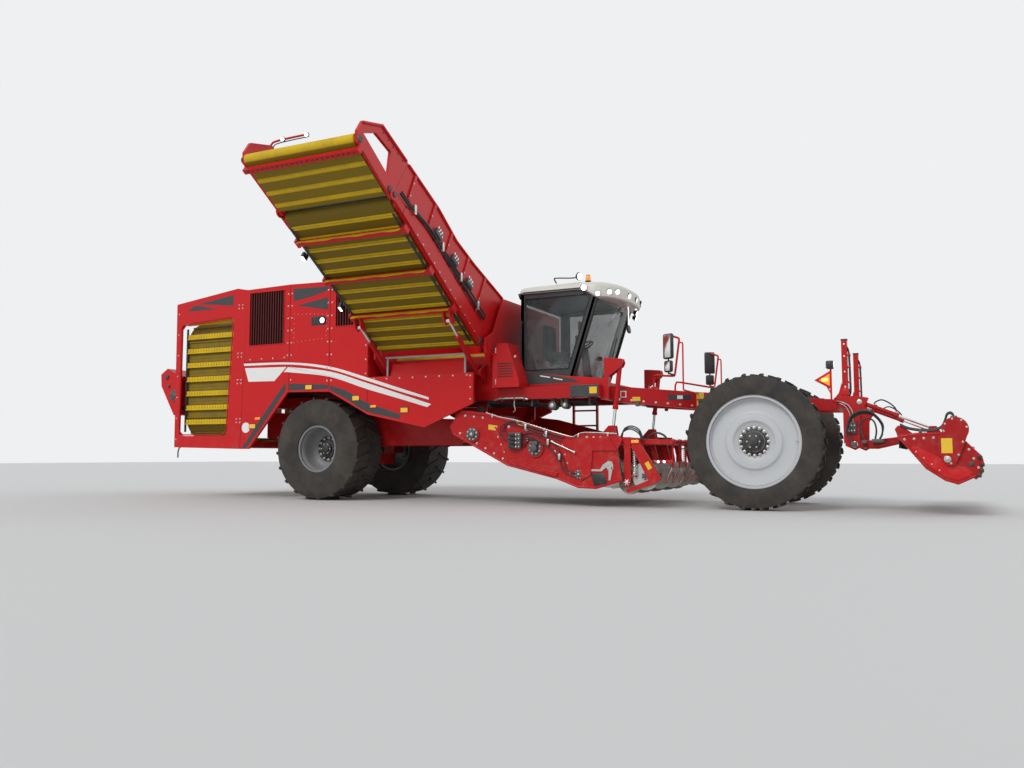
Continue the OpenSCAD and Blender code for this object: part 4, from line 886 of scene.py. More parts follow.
    def lamps(self):
        bm = bmesh.new()
        for u in (1.35, 2.55):
            slab(bm, on_belt(-1.085, u, -0.11), (0.028, 0.06, 0.05), 0.01, 0, BELT_TURN)
            slab(bm, on_belt(-1.085, u, -0.168), (0.022, 0.05, 0.006), 0.004, 1, BELT_TURN)
            slab(bm, on_belt(-1.045, u, -0.08), (0.015, 0.03, 0.02), 0.004)
        piece("elevator_lamps", bm, ("black", "lit"), "elevator")
        bm = bmesh.new()
        arm = [(-1.055, 0.44), (-1.055, 0.70), (-1.00, 0.765), (-0.70, 0.785), (-0.42, 0.790)]
        pipe(bm, curved([on_belt(x, self.ARM_U, w) for x, w in arm], 6), 0.016, 12, 2)
        pipe(bm, curved([on_belt(x + 0.03, self.ARM_U - 0.03, w - 0.02) for x, w in arm], 6), 0.008, 8)
        for x, w in ((-0.86, 0.785), (-0.40, 0.780)):
            stack(bm, on_belt(x, self.ARM_U, w), (0.3, -0.8, -0.3),
                  ((0.03, 0.036, 0.05, 24, 0.008), (0.058, 0.030, 0.008, 24, 0, 1)))
        for w in (0.46, 0.58):
            slab(bm, on_belt(-1.055, self.ARM_U, w), (0.023, 0.03, 0.012), 0.003, 2)
        piece("head_lamp_arm", bm, ("black", "lit", "red"), "elevator_tip")


class HARVESTER_OT_cab(bpy.types.Operator):
    """Build the cab's frame, panes and roof, and add its lamps, seat, console and handles"""
    bl_idname = "harvester.cab"
    bl_label = "Cab"

    # The frame's levels and half width, its back, and the windscreen's foot, lean and bulge
    FLOOR, TOP, HALF = 2.04, 3.64, 0.95
    BACK, FOOT, LEAN, BULGE = -4.03, -3.10, 0.32, 0.10
    # The roof's half width, where its visor starts and how far that reaches
    ROOF_HALF, VISOR, REACH = 0.99, -2.75, 0.46
    PANE = [(-3.95, 2.30), (-3.95, 3.56), (-2.72, 3.56), (-3.14, 2.30)]
    DOORWAY = [(-3.967, 2.114), (-3.967, 3.597), (-2.682, 3.597), (-3.173, 2.114)]
    WALL = [(BACK, FLOOR), (BACK, TOP), (-2.588, TOP), (FOOT, FLOOR)]

    def execute(self, context):
        self.shell()
        self.glazing()
        self.roof()
        self.gaskets()
        self.roof_lamps()
        self.roof_trim()
        self.interior()
        self.outside()
        return {"FINISHED"}

    def on_screen(self, y, z, out=0.0):
        """A point of the windscreen's outer face, which leans forward and bulges to its middle."""
        lean = self.LEAN * (z - self.FLOOR) + self.BULGE * (1 - (y / self.HALF) ** 2)
        return at(self.FOOT + lean + out, y, z)

    def screen_loop(self, half, low, high, out=0.0):
        """An outline on the windscreen, up to a half width and between two levels."""
        ys = [half * (k / 8 - 1) for k in range(17)]
        return [self.on_screen(y, low, out) for y in ys] + [self.on_screen(y, high, out) for y in reversed(ys)]

    def framed(self, bm, outer, inner, shift):
        """A wall round one opening, as thick as the shift between its two faces."""
        rows = [outer, inner, [p + Vector(shift) for p in inner], [p + Vector(shift) for p in outer]]
        rows = [[bm.verts.new(p) for p in row] for row in rows]
        bridge(bm, rows + rows[:1])

    def shell(self):
        """Four walls with their openings, floor, ceiling and the door's hinges."""
        bm = bmesh.new()
        for side, opening in ((-1, self.PANE), (1, self.DOORWAY)):
            y = side * self.HALF
            self.framed(bm, at_y(y, self.WALL), at_y(y, opening), (0, -0.06 * side, 0))
        back = [[at(self.BACK, y * w, z) for y, z in ((-1, lo), (1, lo), (1, hi), (-1, hi))]
                for w, lo, hi in ((self.HALF, self.FLOOR, self.TOP), (0.85, 2.35, 3.50))]
        self.framed(bm, *back, (0.06, 0, 0))
        edge = self.screen_loop(self.HALF, self.FLOOR, self.TOP)
        self.framed(bm, edge, self.screen_loop(0.87, 2.15, 3.52), (-0.05, 0, 0))
        for z in (self.FLOOR, self.TOP - 0.06):
            front = [self.on_screen(0.94 * (k / 8 - 1), z + 0.03, -0.01) for k in range(17)]
            front = [Vector((p.x, p.y, z)) for p in front]
            plate(bm, [at(-4.02, -0.94, z)] + front + [at(-4.02, 0.94, z)], (0, 0, 1), 0.06)
        for z in (2.38, 3.30):
            block(bm, at(self.BACK, 0.949, z), at(-3.968, 0.986, z + 0.06), 0.004)
            drum(bm, at(-3.984, 0.97, z + 0.065), (0, 0, 1), 0.008, 0.13, 20)
        piece("cab_frame", bm, "pillar", "chassis", smooth=False, replaces=("cab_shell",))

    def glazing(self):
        """Panes of the right side, the back and the curved windscreen."""
        bm = bmesh.new()
        plate(bm, at_y(-0.926, self.PANE), (0, -1, 0), 0.006)
        back = [at(-3.99, y, z) for y, z in ((-0.86, 2.34), (0.86, 2.34), (0.86, 3.51), (-0.86, 3.51))]
        plate(bm, back, (1, 0, 0), 0.006)
        skins = [[bm.verts.new(p) for p in self.screen_loop(0.88, 2.14, 3.53, out)] for out in (-0.018, -0.024)]
        bridge(bm, skins)
        for skin in skins:
            cap(bm, skin)
        piece("cab_panes", bm, "glass", "chassis", smooth=False, replaces=("cab_glass",))

    def roof_rim(self, angle, out=0.0):
        """A point of the visor's outline in plan, where 0 is its front and 90 its left side."""
        t = math.radians(angle)
        c, s = abs(math.cos(t)) ** 0.8, math.copysign(abs(math.sin(t)) ** 0.8, math.sin(t))
        return (self.VISOR + (self.REACH + out) * c, (self.ROOF_HALF + out) * s)

    def roof(self):
        """The roof moulding: one outline at rising levels, with a visor that hangs lower at the front."""
        wide, middle, rim, drop = self.ROOF_HALF, -3.2, 3.645, 0.155
        half = [(-4.05, -0.93), (-4.03, -0.975)] + [(x, -wide) for x in (-3.97, -3.6, -3.2, -2.95, -2.85)]
        half += [self.roof_rim(a) for a in range(-90, 0, 5)] + [self.roof_rim(-1.5)]
        loop = half + [(x, -y) for x, y in reversed(half)]
        bm = bmesh.new()
        rings = []
        # How far each level lies inside the outline, and its height; the first three count from the rim
        for i, (inset, z) in enumerate(((0.10, 0.0), (0.02, 0.0), (0.0, 0.02), (0.0, 3.68), (0.012, 3.72),
                                        (0.045, 3.75), (0.12, 3.777), (0.35, 3.81), (0.75, 3.83))):
            ring = []
            for x, y in loop:
                low = rim - drop * min(1.0, max(0.0, (x + 2.92) / 0.30)) ** 1.5
                x = middle + (x - middle) * (1 - inset / 0.9)
                ring.append(bm.verts.new(at(x, y * (1 - inset / wide), low + z if i < 3 else z)))
            rings.append(ring)
        bridge(bm, rings)
        cap(bm, rings[0])
        cap(bm, rings[-1])
        piece("cab_top", bm, "roof", "chassis", replaces=("cab_roof",))

    def gaskets(self):
        bm = bmesh.new()
        for loop in (at_y(-0.948, self.PANE), self.screen_loop(0.875, 2.148, 3.522)):
            pipe(bm, loop + loop[:1], 0.014, 8)
        piece("cab_gaskets", bm, "black", "chassis")
        bm = bmesh.new()
        door = [(-3.96, 2.12), (-3.96, 3.59), (-2.69, 3.59), (-3.18, 2.12), (-3.96, 2.12)]
        inset = [(-3.88, 2.20), (-3.88, 3.51), (-2.80, 3.51), (-3.235, 2.20), (-3.88, 2.20)]
        pipe(bm, at_y(0.951, [(x * 0.997 - 0.01, 2.855 + (z - 2.855) * 0.985) for x, z in door]), 0.008, 8)
        pipe(bm, at_y(0.951, inset), 0.012, 8)
        # Lock and handle
        block(bm, at(-3.32, 0.95, 2.62), at(-3.22, 0.972, 2.70), 0.008, 1)
        handle = ((-3.36, 0.952), (-3.36, 0.985), (-3.25, 0.985), (-3.25, 0.952))
        pipe(bm, [at(x, y, 2.66) for x, y in handle], 0.011, 10, 1)
        piece("door_gaskets", bm, ("black", "iron"), "door")

    def lamp(self, bm, centre, axis, r=0.055):
        """A round work lamp: shell, rim and lit lens."""
        stack(bm, centre, axis, ((-0.03, r * 0.55, 0.05, 24, 0.01, 0, r), (0, r, 0.03, 28, 0.005),
                                 (0.014, r * 0.86, 0.008, 28, 0.0, 1)))

    def roof_lamps(self):
        bm = bmesh.new()
        for angle, z in ((75, 3.55), (52, 3.59), (35, 3.61), (8, 3.60)):
            for side in (-1, 1):
                (x, y), (far_x, far_y) = self.roof_rim(side * angle), self.roof_rim(side * angle, 0.1)
                stack(bm, at(x, y, z), (far_x - x, far_y - y, -0.03),
                      ((0, 0.052, 0.03, 28, 0.006), (0.014, 0.043, 0.010, 28, 0.003, 1)))
        # Beacon with its base
        stack(bm, at(-2.90, -0.60, 3.842), (0, 0, 1),
              ((0, 0.054, 0.022, 32, 0.004), (0.058, 0.050, 0.096, 32, 0.012, 2, 0.040),
               (0.11, 0.036, 0.012, 32, 0.004)))
        piece("roof_lamps", bm, ("black", "lit", "orange"), "chassis", replaces=("lamps",))
        bm = bmesh.new()
        for side in (-1, 1):
            self.lamp(bm, at(-2.82, side * 1.03, 3.66), (0.5, side * 0.8, -0.3), 0.06)
            slab(bm, at(-2.83, side * 1.0025, 3.66), (0.03, 0.0175, 0.02), 0.004)
            self.lamp(bm, at(-4.075, side * 0.9, 3.62), (-0.9, side * 0.18, -0.3))
            slab(bm, at(-4.04, side * 0.9, 3.62), (0.01, 0.02, 0.02), 0.004)
        self.lamp(bm, at(-2.95, -0.90, 3.885), (0.9, -0.35, -0.2), 0.07)
        arm = ((-3.36, -0.93, 3.79), (-3.40, -0.93, 3.87), (-3.36, -0.92, 3.885), (-3.1, -0.91, 3.865),
               (-2.98, -0.90, 3.87))
        pipe(bm, curved([at(*p) for p in arm], 5), 0.011, 10)
        piece("cab_lamps", bm, ("black", "lit"), "chassis")

    def roof_trim(self):
        """Hatch, ribs and seal of the roof moulding, and what hangs under its visor."""
        bm = bmesh.new()
        hatch = ((-3.86, -0.62, 3.795), (-3.06, -0.62, 3.822), (-3.06, 0.62, 3.822), (-3.86, 0.62, 3.795))
        plate(bm, [at(*p) for p in hatch], (0, 0, 1), 0.028, 0, 0.012)
        for y in (-0.8, -0.7, 0.7, 0.8):
            pipe(bm, at_y(y, ((-3.80, 3.782), (-2.95, 3.785), (-2.72, 3.772))), 0.013)
        piece("roof_ribs", bm, "roof", "chassis")
        bm = bmesh.new()
        for side in (-1, 1):
            plate(bm, at_y(side * self.ROOF_HALF, rectangle(-3.435, 3.661, 1.07, 0.022)), (0, side, 0), 0.007)
        piece("roof_seal", bm, "black", "chassis", smooth=False)
        bm = bmesh.new()
        # One round mirror and two lamps
        pipe(bm, at_y(0.30, ((-2.48, 3.50), (-2.47, 3.46), (-2.47, 3.17))), 0.008, 8, 1)
        drum(bm, at(-2.47, 0.30, 3.10), (1, 0, 0.2), 0.085, 0.035, 32, 0.012)
        drum(bm, at(-2.49, 0.30, 3.096), (1, 0, 0.2), 0.072, 0.008, 32, 0.0, 2)
        for x, y, z in ((-2.40, 0.52, 3.42), (-2.48, 0.72, 3.36)):
            pipe(bm, at_y(y, ((x, 3.50), (x, z))), 0.010, 8, 1)
            self.lamp(bm, at(x, y, z), (0.9, 0.2, -0.4), 0.052)
        piece("front_mirrors", bm, ("black", "lit", "chrome"), "chassis")

    def interior(self):
        """Seat, console, screen and steering wheel behind the tinted glass."""
        for name, lo, hi, axis in (("seat_cushion", (-3.85, -0.25, 2.50), (-3.38, 0.25, 2.60), 2),
                                   ("seat_back", (-3.95, -0.24, 2.55), (-3.845, 0.24, 3.19), 0)):
            bm = bmesh.new()
            self.cushion(bm, lo, hi, axis)
            pad = piece(name, bm, "seat", "chassis")
        bm = bmesh.new()
        blocks(bm, ((-3.78, -0.22, 2.10, -3.43, 0.22, 2.44, 0.03), (-3.83, -0.23, 2.44, -3.41, 0.23, 2.50, 0.02)))
        column = ((-3.20, 2.10), (-3.06, 2.10), (-3.16, 2.76), (-3.26, 2.74))
        plate(bm, at_y(-0.06, column), (0, 1, 0), 0.12, 0, 0.012)
        self.steering_wheel(bm, at(-3.23, 0, 2.78), math.radians(28))
        piece("cab_furniture", bm, "black", "chassis", replaces=("cab_seat",))
        bm = bmesh.new()
        # Arm rest, screens, pedals
        blocks(bm, ((-3.77, -0.42, 2.50, -3.37, -0.30, 2.66, 0.03),
                    (-3.70, -0.40, 2.10, -3.50, -0.32, 2.50, 0.015),
                    (-3.12, -0.68, 2.70, -3.085, -0.40, 2.90, 0.012),
                    (-3.06, -0.70, 2.98, -3.025, -0.46, 3.14, 0.012),
                    (-3.17, 0.10, 2.12, -3.09, 0.22, 2.15, 0.006)))
        pipe(bm, curved(at_y(-0.36, ((-3.40, 2.64), (-3.37, 2.72), (-3.38, 2.80))), 4), 0.014, 12)
        drum(bm, at(-3.38, -0.36, 2.83), (0.1, 0, 1), 0.03, 0.09, 24, 0.012)
        pipe(bm, [at(-3.14, -0.55, 2.10), at(-3.14, -0.55, 2.62), at(-3.10, -0.52, 2.74)], 0.018, 12)
        pipe(bm, at_y(-0.58, ((-3.11, 2.88), (-3.04, 3.0))), 0.012)
        drum(bm, at(-3.13, -0.22, 2.125), (0.4, 0, 1), 0.05, 0.02, 20, 0.006)
        piece("cab_console", bm, "black", "chassis")

    def steering_wheel(self, bm, hub, tilt):
        """A ring on three spokes round its hub."""
        axis = Vector((-math.sin(tilt), 0, math.cos(tilt)))
        drum(bm, hub - axis * 0.02, axis, 0.04, 0.07, 28, 0.008)
        ring = bmesh.ops.create_circle(bm, segments=14, radius=0.014)["verts"]
        bmesh.ops.rotate(bm, verts=ring, matrix=Matrix.Rotation(math.pi / 2, 3, "X"))
        bmesh.ops.translate(bm, verts=ring, vec=(0.19, 0, 0))
        edges = list({e for v in ring for e in v.link_edges})
        full_turn(bm, ring + edges, 40)
        verts = [v for v in bm.verts if v.co.length < 0.3]
        bmesh.ops.transform(bm, matrix=Matrix.Translation(hub) @ aimed(axis).to_4x4(), verts=verts)
        for spoke in circle(Vector(), 1, 3, w=(0, 1, 0)):
            spoke = aimed(axis) @ spoke
            pipe(bm, [hub, hub + spoke * 0.1 - axis * 0.01, hub + spoke * 0.186], 0.010)

    def cushion(self, bm, lo, hi, axis):
        """A closed pad, crowned along an axis, with two sewn channels."""
        lo, hi = Vector(lo), Vector(hi)
        bmesh.ops.create_cube(bm, size=2)
        bmesh.ops.subdivide_edges(bm, edges=list(bm.edges), cuts=13, use_grid_fill=True)
        half, middle = (hi - lo) / 2, (hi + lo) / 2
        for v in bm.verts:
            p = v.co.copy()
            u, w = p[(axis + 1) % 3], p[(axis + 2) % 3]
            crown = (1 - u ** 4 * 0.35) * (1 - w ** 4 * 0.35)
            sewn = 0.10 * sum(math.exp(-((p.y - c) / 0.05) ** 2) for c in (-0.55, 0.55)) if p[axis] > 0.9 else 0
            # Corners pulled in where two other directions are both far out
            place = Vector([p[k] * (1 - 0.05 * (p[k - 1] * p[k - 2]) ** 2) * half[k] for k in range(3)])
            place[axis] *= crown - sewn
            v.co = at(*middle) + place

    def outside(self):
        bm = bmesh.new()
        # Wiper, resting on the screen
        lean = Vector((self.LEAN, 0, 1)).normalized()
        off = Vector((1, 0, -self.LEAN)).normalized() * 0.022
        foot = at(-2.955, 0.10, 2.15)
        pipe(bm, [foot + off, foot + lean * 0.45 + Vector((0, 0.12, 0)) + off * 1.3], 0.008, 8)
        blade = [foot + lean * up + Vector((0, y, 0)) + off for up, y in ((0.12, 0.28), (0.85, 0.16))]
        pipe(bm, blade, 0.008, 8)
        drum(bm, foot + off * 0.6, off, 0.028, 0.03, 20, 0.004)
        # Grab handles at the rear posts
        for y, x in ((1.0, -4.0), (-0.975, -3.99)):
            near = y - math.copysign(0.04, y)
            handle = [at(x, near, 2.45), at(x - 0.02, y, 2.52), at(x - 0.02, y, 3.1), at(x, near, 3.17)]
            pipe(bm, curved(handle, 4), 0.012)
        piece("cab_outside", bm, "black", "chassis")
        bm = bmesh.new()
        # Dark swoosh and two pale bars on the right skirt, then the toolbox's cover with a blank yellow plate
        for y, index, outline in (
                (-1.009, 0, ((-3.91, 2.265), (-3.62, 2.235), (-3.05, 2.125), (-2.9, 2.06), (-3.9, 2.045))),
                (-1.012, 1, ((-3.64, 2.20), (-3.45, 2.165), (-3.45, 2.145), (-3.63, 2.175))),
                (-1.012, 1, ((-3.39, 2.15), (-3.22, 2.115), (-3.22, 2.095), (-3.39, 2.13))),
                (-1.370, 2, rectangle(-2.535, 1.885, 0.13, 0.11))):
            plate(bm, at_y(y, outline), (0, -1, 0), 0.004, index)
        plate(bm, at_y(-1.359, rectangle(-2.691, 1.88, 0.498, 0.196)), (0, -1, 0), 0.012, 0, 0.006)
        piece("skirt_decor", bm, ("decor", "white", "sign"), "chassis", smooth=False)


class HARVESTER_OT_mirrors(bpy.types.Operator):
    """Build the mirrors on their bent pipes"""
    bl_idname = "harvester.mirrors"
    bl_label = "Mirrors"

    # The bent pipe, the mirror's upright, its clamp, and the brace from the neck: radius, sides, index, places
    PIPES = (
        (0.017, 14, 0, ((-1.73, 0.66, 1.952), (-1.726, 0.66, 2.08), (-1.705, 0.678, 2.136), (-1.65, 0.75, 2.136),
                        (-1.25, 1.26, 2.072), (-1.195, 1.33, 2.066), (-1.176, 1.35, 2.10), (-1.104, 1.35, 2.62),
                        (-1.106, 1.35, 2.648), (-1.128, 1.352, 2.662), (-1.235, 1.36, 2.70))),
        (0.013, 12, 1, ((-1.27, 1.38, 2.09), (-1.27, 1.38, 2.35))),
        (0.013, 12, 1, ((-1.18, 1.35, 2.075), (-1.27, 1.38, 2.105))),
        (0.013, 12, 0, ((-1.05, 0.431, 1.84), (-1.05, 1.30, 1.84), (-1.05, 1.335, 1.85), (-1.05, 1.34, 1.885),
                        (-1.05, 1.34, 2.55), (-1.058, 1.341, 2.582), (-1.105, 1.349, 2.586))),
    )

    def execute(self, context):
        bm = bmesh.new()
        for s in (-1, 1):
            foot = at(-1.73, s * 0.66, 1.94)
            drum(bm, foot + Vector((0, 0, 0.01)), (0, 0, 1), 0.042, 0.02, 24, 0.003)
            bolt_ring(bm, foot + Vector((0, 0, 0.02)), (0, 0, 1), 0.031, 4, 0.006, 2, 0.6, w=(0, 1, 0))
            for r, sides, index, line in self.PIPES:
                pipe(bm, [at(x, s * y, z) for x, y, z in line], r, sides, index)
            turn = Matrix.Rotation(math.radians(28 * s), 3, "Z")
            for z, w, h in ((2.33, 0.095, 0.20), (2.12, 0.075, 0.0925)):
                centre = at(-1.27, s * 1.38, z + h)
                slab(bm, centre, (w, 0.035, h), 0.026, 1, turn)
                slab(bm, centre + turn @ Vector((0, s * 0.0345, 0)), (w - 0.022, 0.003, h - 0.022), 0.002, 3, turn)
        piece("mirror_sets", bm, ("red", "black", "steel", "chrome"), "chassis",
              replaces=("mirrors",))
        return {"FINISHED"}


class HARVESTER_OT_wheels(bpy.types.Operator):
    """Press the rims' dishes and add hubs, bolts and valves"""
    bl_idname = "harvester.wheels"
    bl_label = "Wheels"

    # The dishes' profiles: radius and how far out
    FRONT = ((0.660, 0.128), (0.652, 0.085), (0.630, 0.060), (0.560, 0.052), (0.46, 0.048), (0.43, 0.060),
             (0.405, 0.085), (0.36, 0.092), (0.32, 0.090), (0.295, 0.070), (0.27, 0.052), (0.165, 0.050))
    REAR = ((0.395, 0.33), (0.388, 0.20), (0.375, 0.12), (0.350, 0.06), (0.31, 0.030), (0.27, 0.020), (0.165, 0.020))

    def execute(self, context):
        for side, name in ((-1, "right"), (1, "left")):
            self.wheel("front_" + name + "_wheel", at(0, side * 1.205, 1.028), side, self.FRONT, 0.10, 16)
            self.wheel("rear_" + name + "_wheel", at(-7.9, side * 1.262, 0.95), side, self.REAR, 0.06, 12)
        return {"FINISHED"}

    def wheel(self, body, centre, side, profile, hub, bolts):
        """A pressed dish from its profile of radius and offset, then hub, nuts and valve."""
        bm = bmesh.new()
        out = Vector((0, side, 0))
        line = [bm.verts.new((r, 0, y)) for r, y in profile]
        edges = [bm.edges.new(pair) for pair in zip(line, line[1:])]
        full_turn(bm, line + edges, 72)
        bmesh.ops.recalc_face_normals(bm, faces=bm.faces)
        if sum(f.normal.z for f in bm.faces) < 0:
            bmesh.ops.reverse_faces(bm, faces=bm.faces)
        bmesh.ops.transform(bm, matrix=Matrix.Translation(centre) @ aimed(out).to_4x4(), verts=bm.verts)
        # Rear dishes take the rim paint darkened as painted shade.
        shell = piece(body + "_dish", bm, "rear_rim" if "rear" in body else "rim", body)
        thick = shell.modifiers.new("sheet", "SOLIDIFY")
        thick.thickness, thick.offset = 0.004, -1
        bm = bmesh.new()
        stack(bm, centre + out * hub, out, ((0.004, 0.158, 0.016, 48, 0.004), (0.030, 0.118, 0.045, 48, 0.012),
                                            (0.060, 0.072, 0.03, 40, 0.010)))
        bolt_ring(bm, centre + out * (hub + 0.052), out, 0.094, 6, 0.008, 1)
        face = centre + out * profile[-1][1]
        for nut in circle(face, 0.21, bolts):
            stack(bm, nut, out, ((0.004, 0.026, 0.006, 16, 0.001, 1), (0.017, 0.017, 0.022, 6, 0.002, 1),
                                 (0.034, 0.009, 0.02, 10, 0.001, 1)))
        drum(bm, face + out * 0.001, out, 0.245, 0.008, 64, 0.002)
        r, lip = profile[0]
        valve = ((0.06, 0.02), (0.02, 0.045), (0, 0.05))
        pipe(bm, [centre + out * (lip - back) + Vector((r - inset, 0, 0)) for back, inset in valve], 0.006, 8, 1)
        piece(body + "_hub", bm, ("hub", "steel"), body)


class HARVESTER_OT_digger(bpy.types.Operator):
    """Fit the digging unit's bearings, bolts, motor, valves, hoses and springs"""
    bl_idname = "harvester.digger"
    bl_label = "Digging unit"

    # How far out the side plates stand, and their edges in X and Z
    FACE = 1.600
    LOWER = [(-5.00, 1.20), (-3.98, 0.675), (-3.09, 0.465), (-2.71, 0.325), (-2.41, 0.315), (-2.01, 0.44)]
    UPPER = [(-5.06, 1.34), (-4.86, 1.585), (-4.39, 1.525), (-2.83, 1.115), (-2.60, 1.165), (-2.07, 1.145),
             (-1.985, 1.055)]

    HOSES = (
        [(-3.70, 1.16), (-3.52, 1.20), (-3.30, 1.10), (-3.10, 0.98), (-2.98, 0.80), (-2.90, 0.60), (-2.72, 0.53)],
        [(-3.70, 1.10), (-3.55, 1.13), (-3.34, 1.03), (-3.15, 0.90), (-3.04, 0.74), (-2.93, 0.56), (-2.74, 0.48)],
        [(-3.70, 1.03), (-3.62, 1.08), (-3.52, 1.09), (-3.48, 1.04)],
        [(-3.70, 0.97), (-3.64, 0.99), (-3.58, 1.06), (-3.50, 1.10), (-3.43, 1.04)],
        [(-3.93, 1.15), (-4.02, 1.22), (-4.00, 1.34), (-3.86, 1.38), (-3.60, 1.31), (-3.20, 1.19), (-2.95, 1.11)],
        [(-3.93, 1.08), (-4.07, 1.14), (-4.06, 1.32), (-3.88, 1.35), (-3.60, 1.27), (-3.22, 1.15), (-2.98, 1.07)],
    )

    def execute(self, context):
        for side, name in ((-1, "right"), (1, "left")):
            self.bearings(side, name)
            self.edges(side, name)
            self.arms(side, name)
        self.drive()
        self.hoses()
        self.signs()
        self.tines()
        return {"FINISHED"}

    def spot(self, x, z, out=0.0, side=-1):
        return at(x, side * (self.FACE + out), z)

    def bearings(self, side, name):
        bm = bmesh.new()
        out = Vector((0, side, 0))
        # The ladder stands close to the left side, which has no bearing there
        middle = ((-3.46, 0.94, 0.118),) if side < 0 else ()
        for x, z, r in ((-4.63, 1.18, 0.112), (-2.70, 0.52, 0.075)) + middle:
            face = self.spot(x, z, 0.030 if r > 0.1 else 0.0, side)
            stack(bm, face, out, ((0.005, r, 0.012, 40, 0.003), (0.020, r * 0.55, 0.024, 32, 0.006),
                                  (0.036, r * 0.24, 0.012, 20, 0.003, 1)))
            bolt_ring(bm, face + out * 0.010, out, r * 0.78, 8, r * 0.085, 1, 0.3)
        drum(bm, at(-4.75, side * 1.105, 1.62), out, 0.075, 0.012, 32, 0.003)
        piece("dig_bearings_" + name, bm, ("iron", "steel"), "digger")

    def edges(self, side, name):
        """Turned edges of the side plate and bolts along them."""
        bm = bmesh.new()
        for line in (self.LOWER, self.UPPER):
            pipe(bm, [self.spot(x, z, 0.001, side) for x, z in line], 0.009, 8)
        for x0, z0, x1, z1 in ((-4.20, 1.30, -4.02, 0.86), (-2.98, 1.02, -2.84, 0.52)):
            strip = ((x0 - 0.02, z0), (x0 + 0.02, z0), (x1 + 0.02, z1), (x1 - 0.02, z1))
            plate(bm, [self.spot(x, z, 0, side) for x, z in strip], (0, side, 0), 0.008)
        piece("dig_edges_" + name, bm, "red", "digger")
        bm = bmesh.new()
        out = (0, side, 0)
        for x0, z0, x1, z1, n in (
                (-4.88, 1.20, -4.06, 0.77, 6), (-3.90, 0.72, -3.16, 0.54, 5), (-4.78, 1.50, -4.44, 1.46, 3),
                (-2.56, 1.11, -2.22, 1.10, 4), (-2.66, 1.02, -2.60, 0.60, 4), (-4.20, 1.26, -4.03, 0.88, 4),
                (-2.98, 0.98, -2.85, 0.56, 4)):
            bolt_row(bm, self.spot(x0, z0, 0.001, side), self.spot(x1, z1, 0.001, side), n, out, 0.013)
        for x, z in ((-3.95, 1.30), (-3.30, 1.17), (-3.12, 0.88), (-2.40, 1.02), (-3.62, 1.25), (-2.14, 0.62)):
            bolt(bm, self.spot(x, z, 0.0, side), out, 0.016)
        piece("dig_bolts_" + name, bm, "steel", "digger", smooth=False)

    def arms(self, side, name):
        """Hub, spring and edge strip of the ridge roller's arm, and the guide's lower bar."""
        bm = bmesh.new()
        out = Vector((0, side, 0))
        stack(bm, at(-1.92, side * 1.541, 0.40), out,
              ((0, 0.058, 0.022, 32, 0.005), (0.015, 0.027, 0.012, 24, 0.003, 1)))
        bolt_ring(bm, at(-1.92, side * 1.552, 0.40), out, 0.042, 6, 0.006, 1)
        # Coil spring on its rod, between two seats
        y = side * 1.517
        top, foot = at(-1.80, y, 0.95), at(-1.80, y, 0.50)
        for z in (0.9475, 0.4975):
            slab(bm, at(-1.8225, y, z), (0.0475, 0.02, 0.0125), 0.004)
        pipe(bm, [foot - Vector((0, 0, 0.05)), top + Vector((0, 0, 0.04))], 0.009, 12, 1)
        turns, steps, radius = 11, 14, 0.030
        coil = []
        for i in range(turns * steps + 1):
            a = 2 * math.pi * i / steps
            middle = foot.lerp(top, 0.05 + 0.9 * i / (turns * steps))
            coil.append(middle + Vector((radius * math.cos(a), radius * math.sin(a), 0)))
        pipe(bm, coil, 0.0055, 7, 1)
        # Fore-and-aft bar between the coulter's arm and the guide's tine
        slab(bm, at(-1.4575, side * 1.405, 0.725), (0.2425, 0.018, 0.025), 0.006)
        slab(bm, at(-1.225, side * 1.385, 0.725), (0.02, 0.04, 0.025), 0.004)
        for x in (-1.60, -1.50):
            bolt(bm, at(x, side * 1.423, 0.725), out, 0.012, 1)
        piece("dig_springs_" + name, bm, ("red", "chrome"), "digger")
        bm = bmesh.new()
        pipe(bm, [self.spot(-2.045, 0.915, -0.012, side), self.spot(-1.975, 0.43, -0.012, side)], 0.014)
        flap = ((-2.50, 0.53), (-2.27, 0.55), (-2.22, 0.37), (-2.44, 0.34))
        plate(bm, [self.spot(x, z, 0.0, side) for x, z in flap], (0, side, 0), 0.010, 0, 0.004)
        piece("dig_rubber_" + name, bm, "black", "digger")

    def drive(self):
        """Web motor, valve block, rods and the polished guard on the right side."""
        bm = bmesh.new()
        out = Vector((0, -1, 0))
        drum(bm, self.spot(-3.46, 0.94, 0.075), out, 0.062, 0.09, 32, 0.008)
        block(bm, self.spot(-3.53, 0.99, 0.10), self.spot(-3.39, 1.05, 0.05), 0.006)
        block(bm, self.spot(-3.93, 0.93, 0.075), self.spot(-3.70, 1.20), 0.008)
        for i in range(4):
            z = 0.965 + 0.066 * i
            block(bm, self.spot(-3.90, z - 0.022, 0.125), self.spot(-3.80, z + 0.022, 0.07), 0.006, 2)
            drum(bm, self.spot(-3.775, z, 0.09), out, 0.017, 0.03, 6, 0.0, 1)
            drum(bm, self.spot(-3.725, z, 0.085), out, 0.012, 0.024, 16, 0.002, 1)
        for x, z in ((-3.60, 1.08), (-3.16, 1.045), (-2.77, 0.875)):
            drum(bm, self.spot(x, z, 0.018), out, 0.022, 0.036, 20, 0.004, 1)
        pipe(bm, [self.spot(-3.16, 1.045, 0.028), self.spot(-2.77, 0.875, 0.028)], 0.013, 12, 1)
        piece("dig_drive", bm, ("iron", "steel", "black"), "digger")
        bm = bmesh.new()
        rail = [(-4.37, 1.545), (-4.13, 1.47), (-3.90, 1.425), (-3.70, 1.375), (-2.88, 1.135), (-2.74, 1.15),
                (-2.59, 1.19), (-2.05, 1.165)]
        pipe(bm, curved([self.spot(x, z, 0.018) for x, z in rail], 4), 0.010)
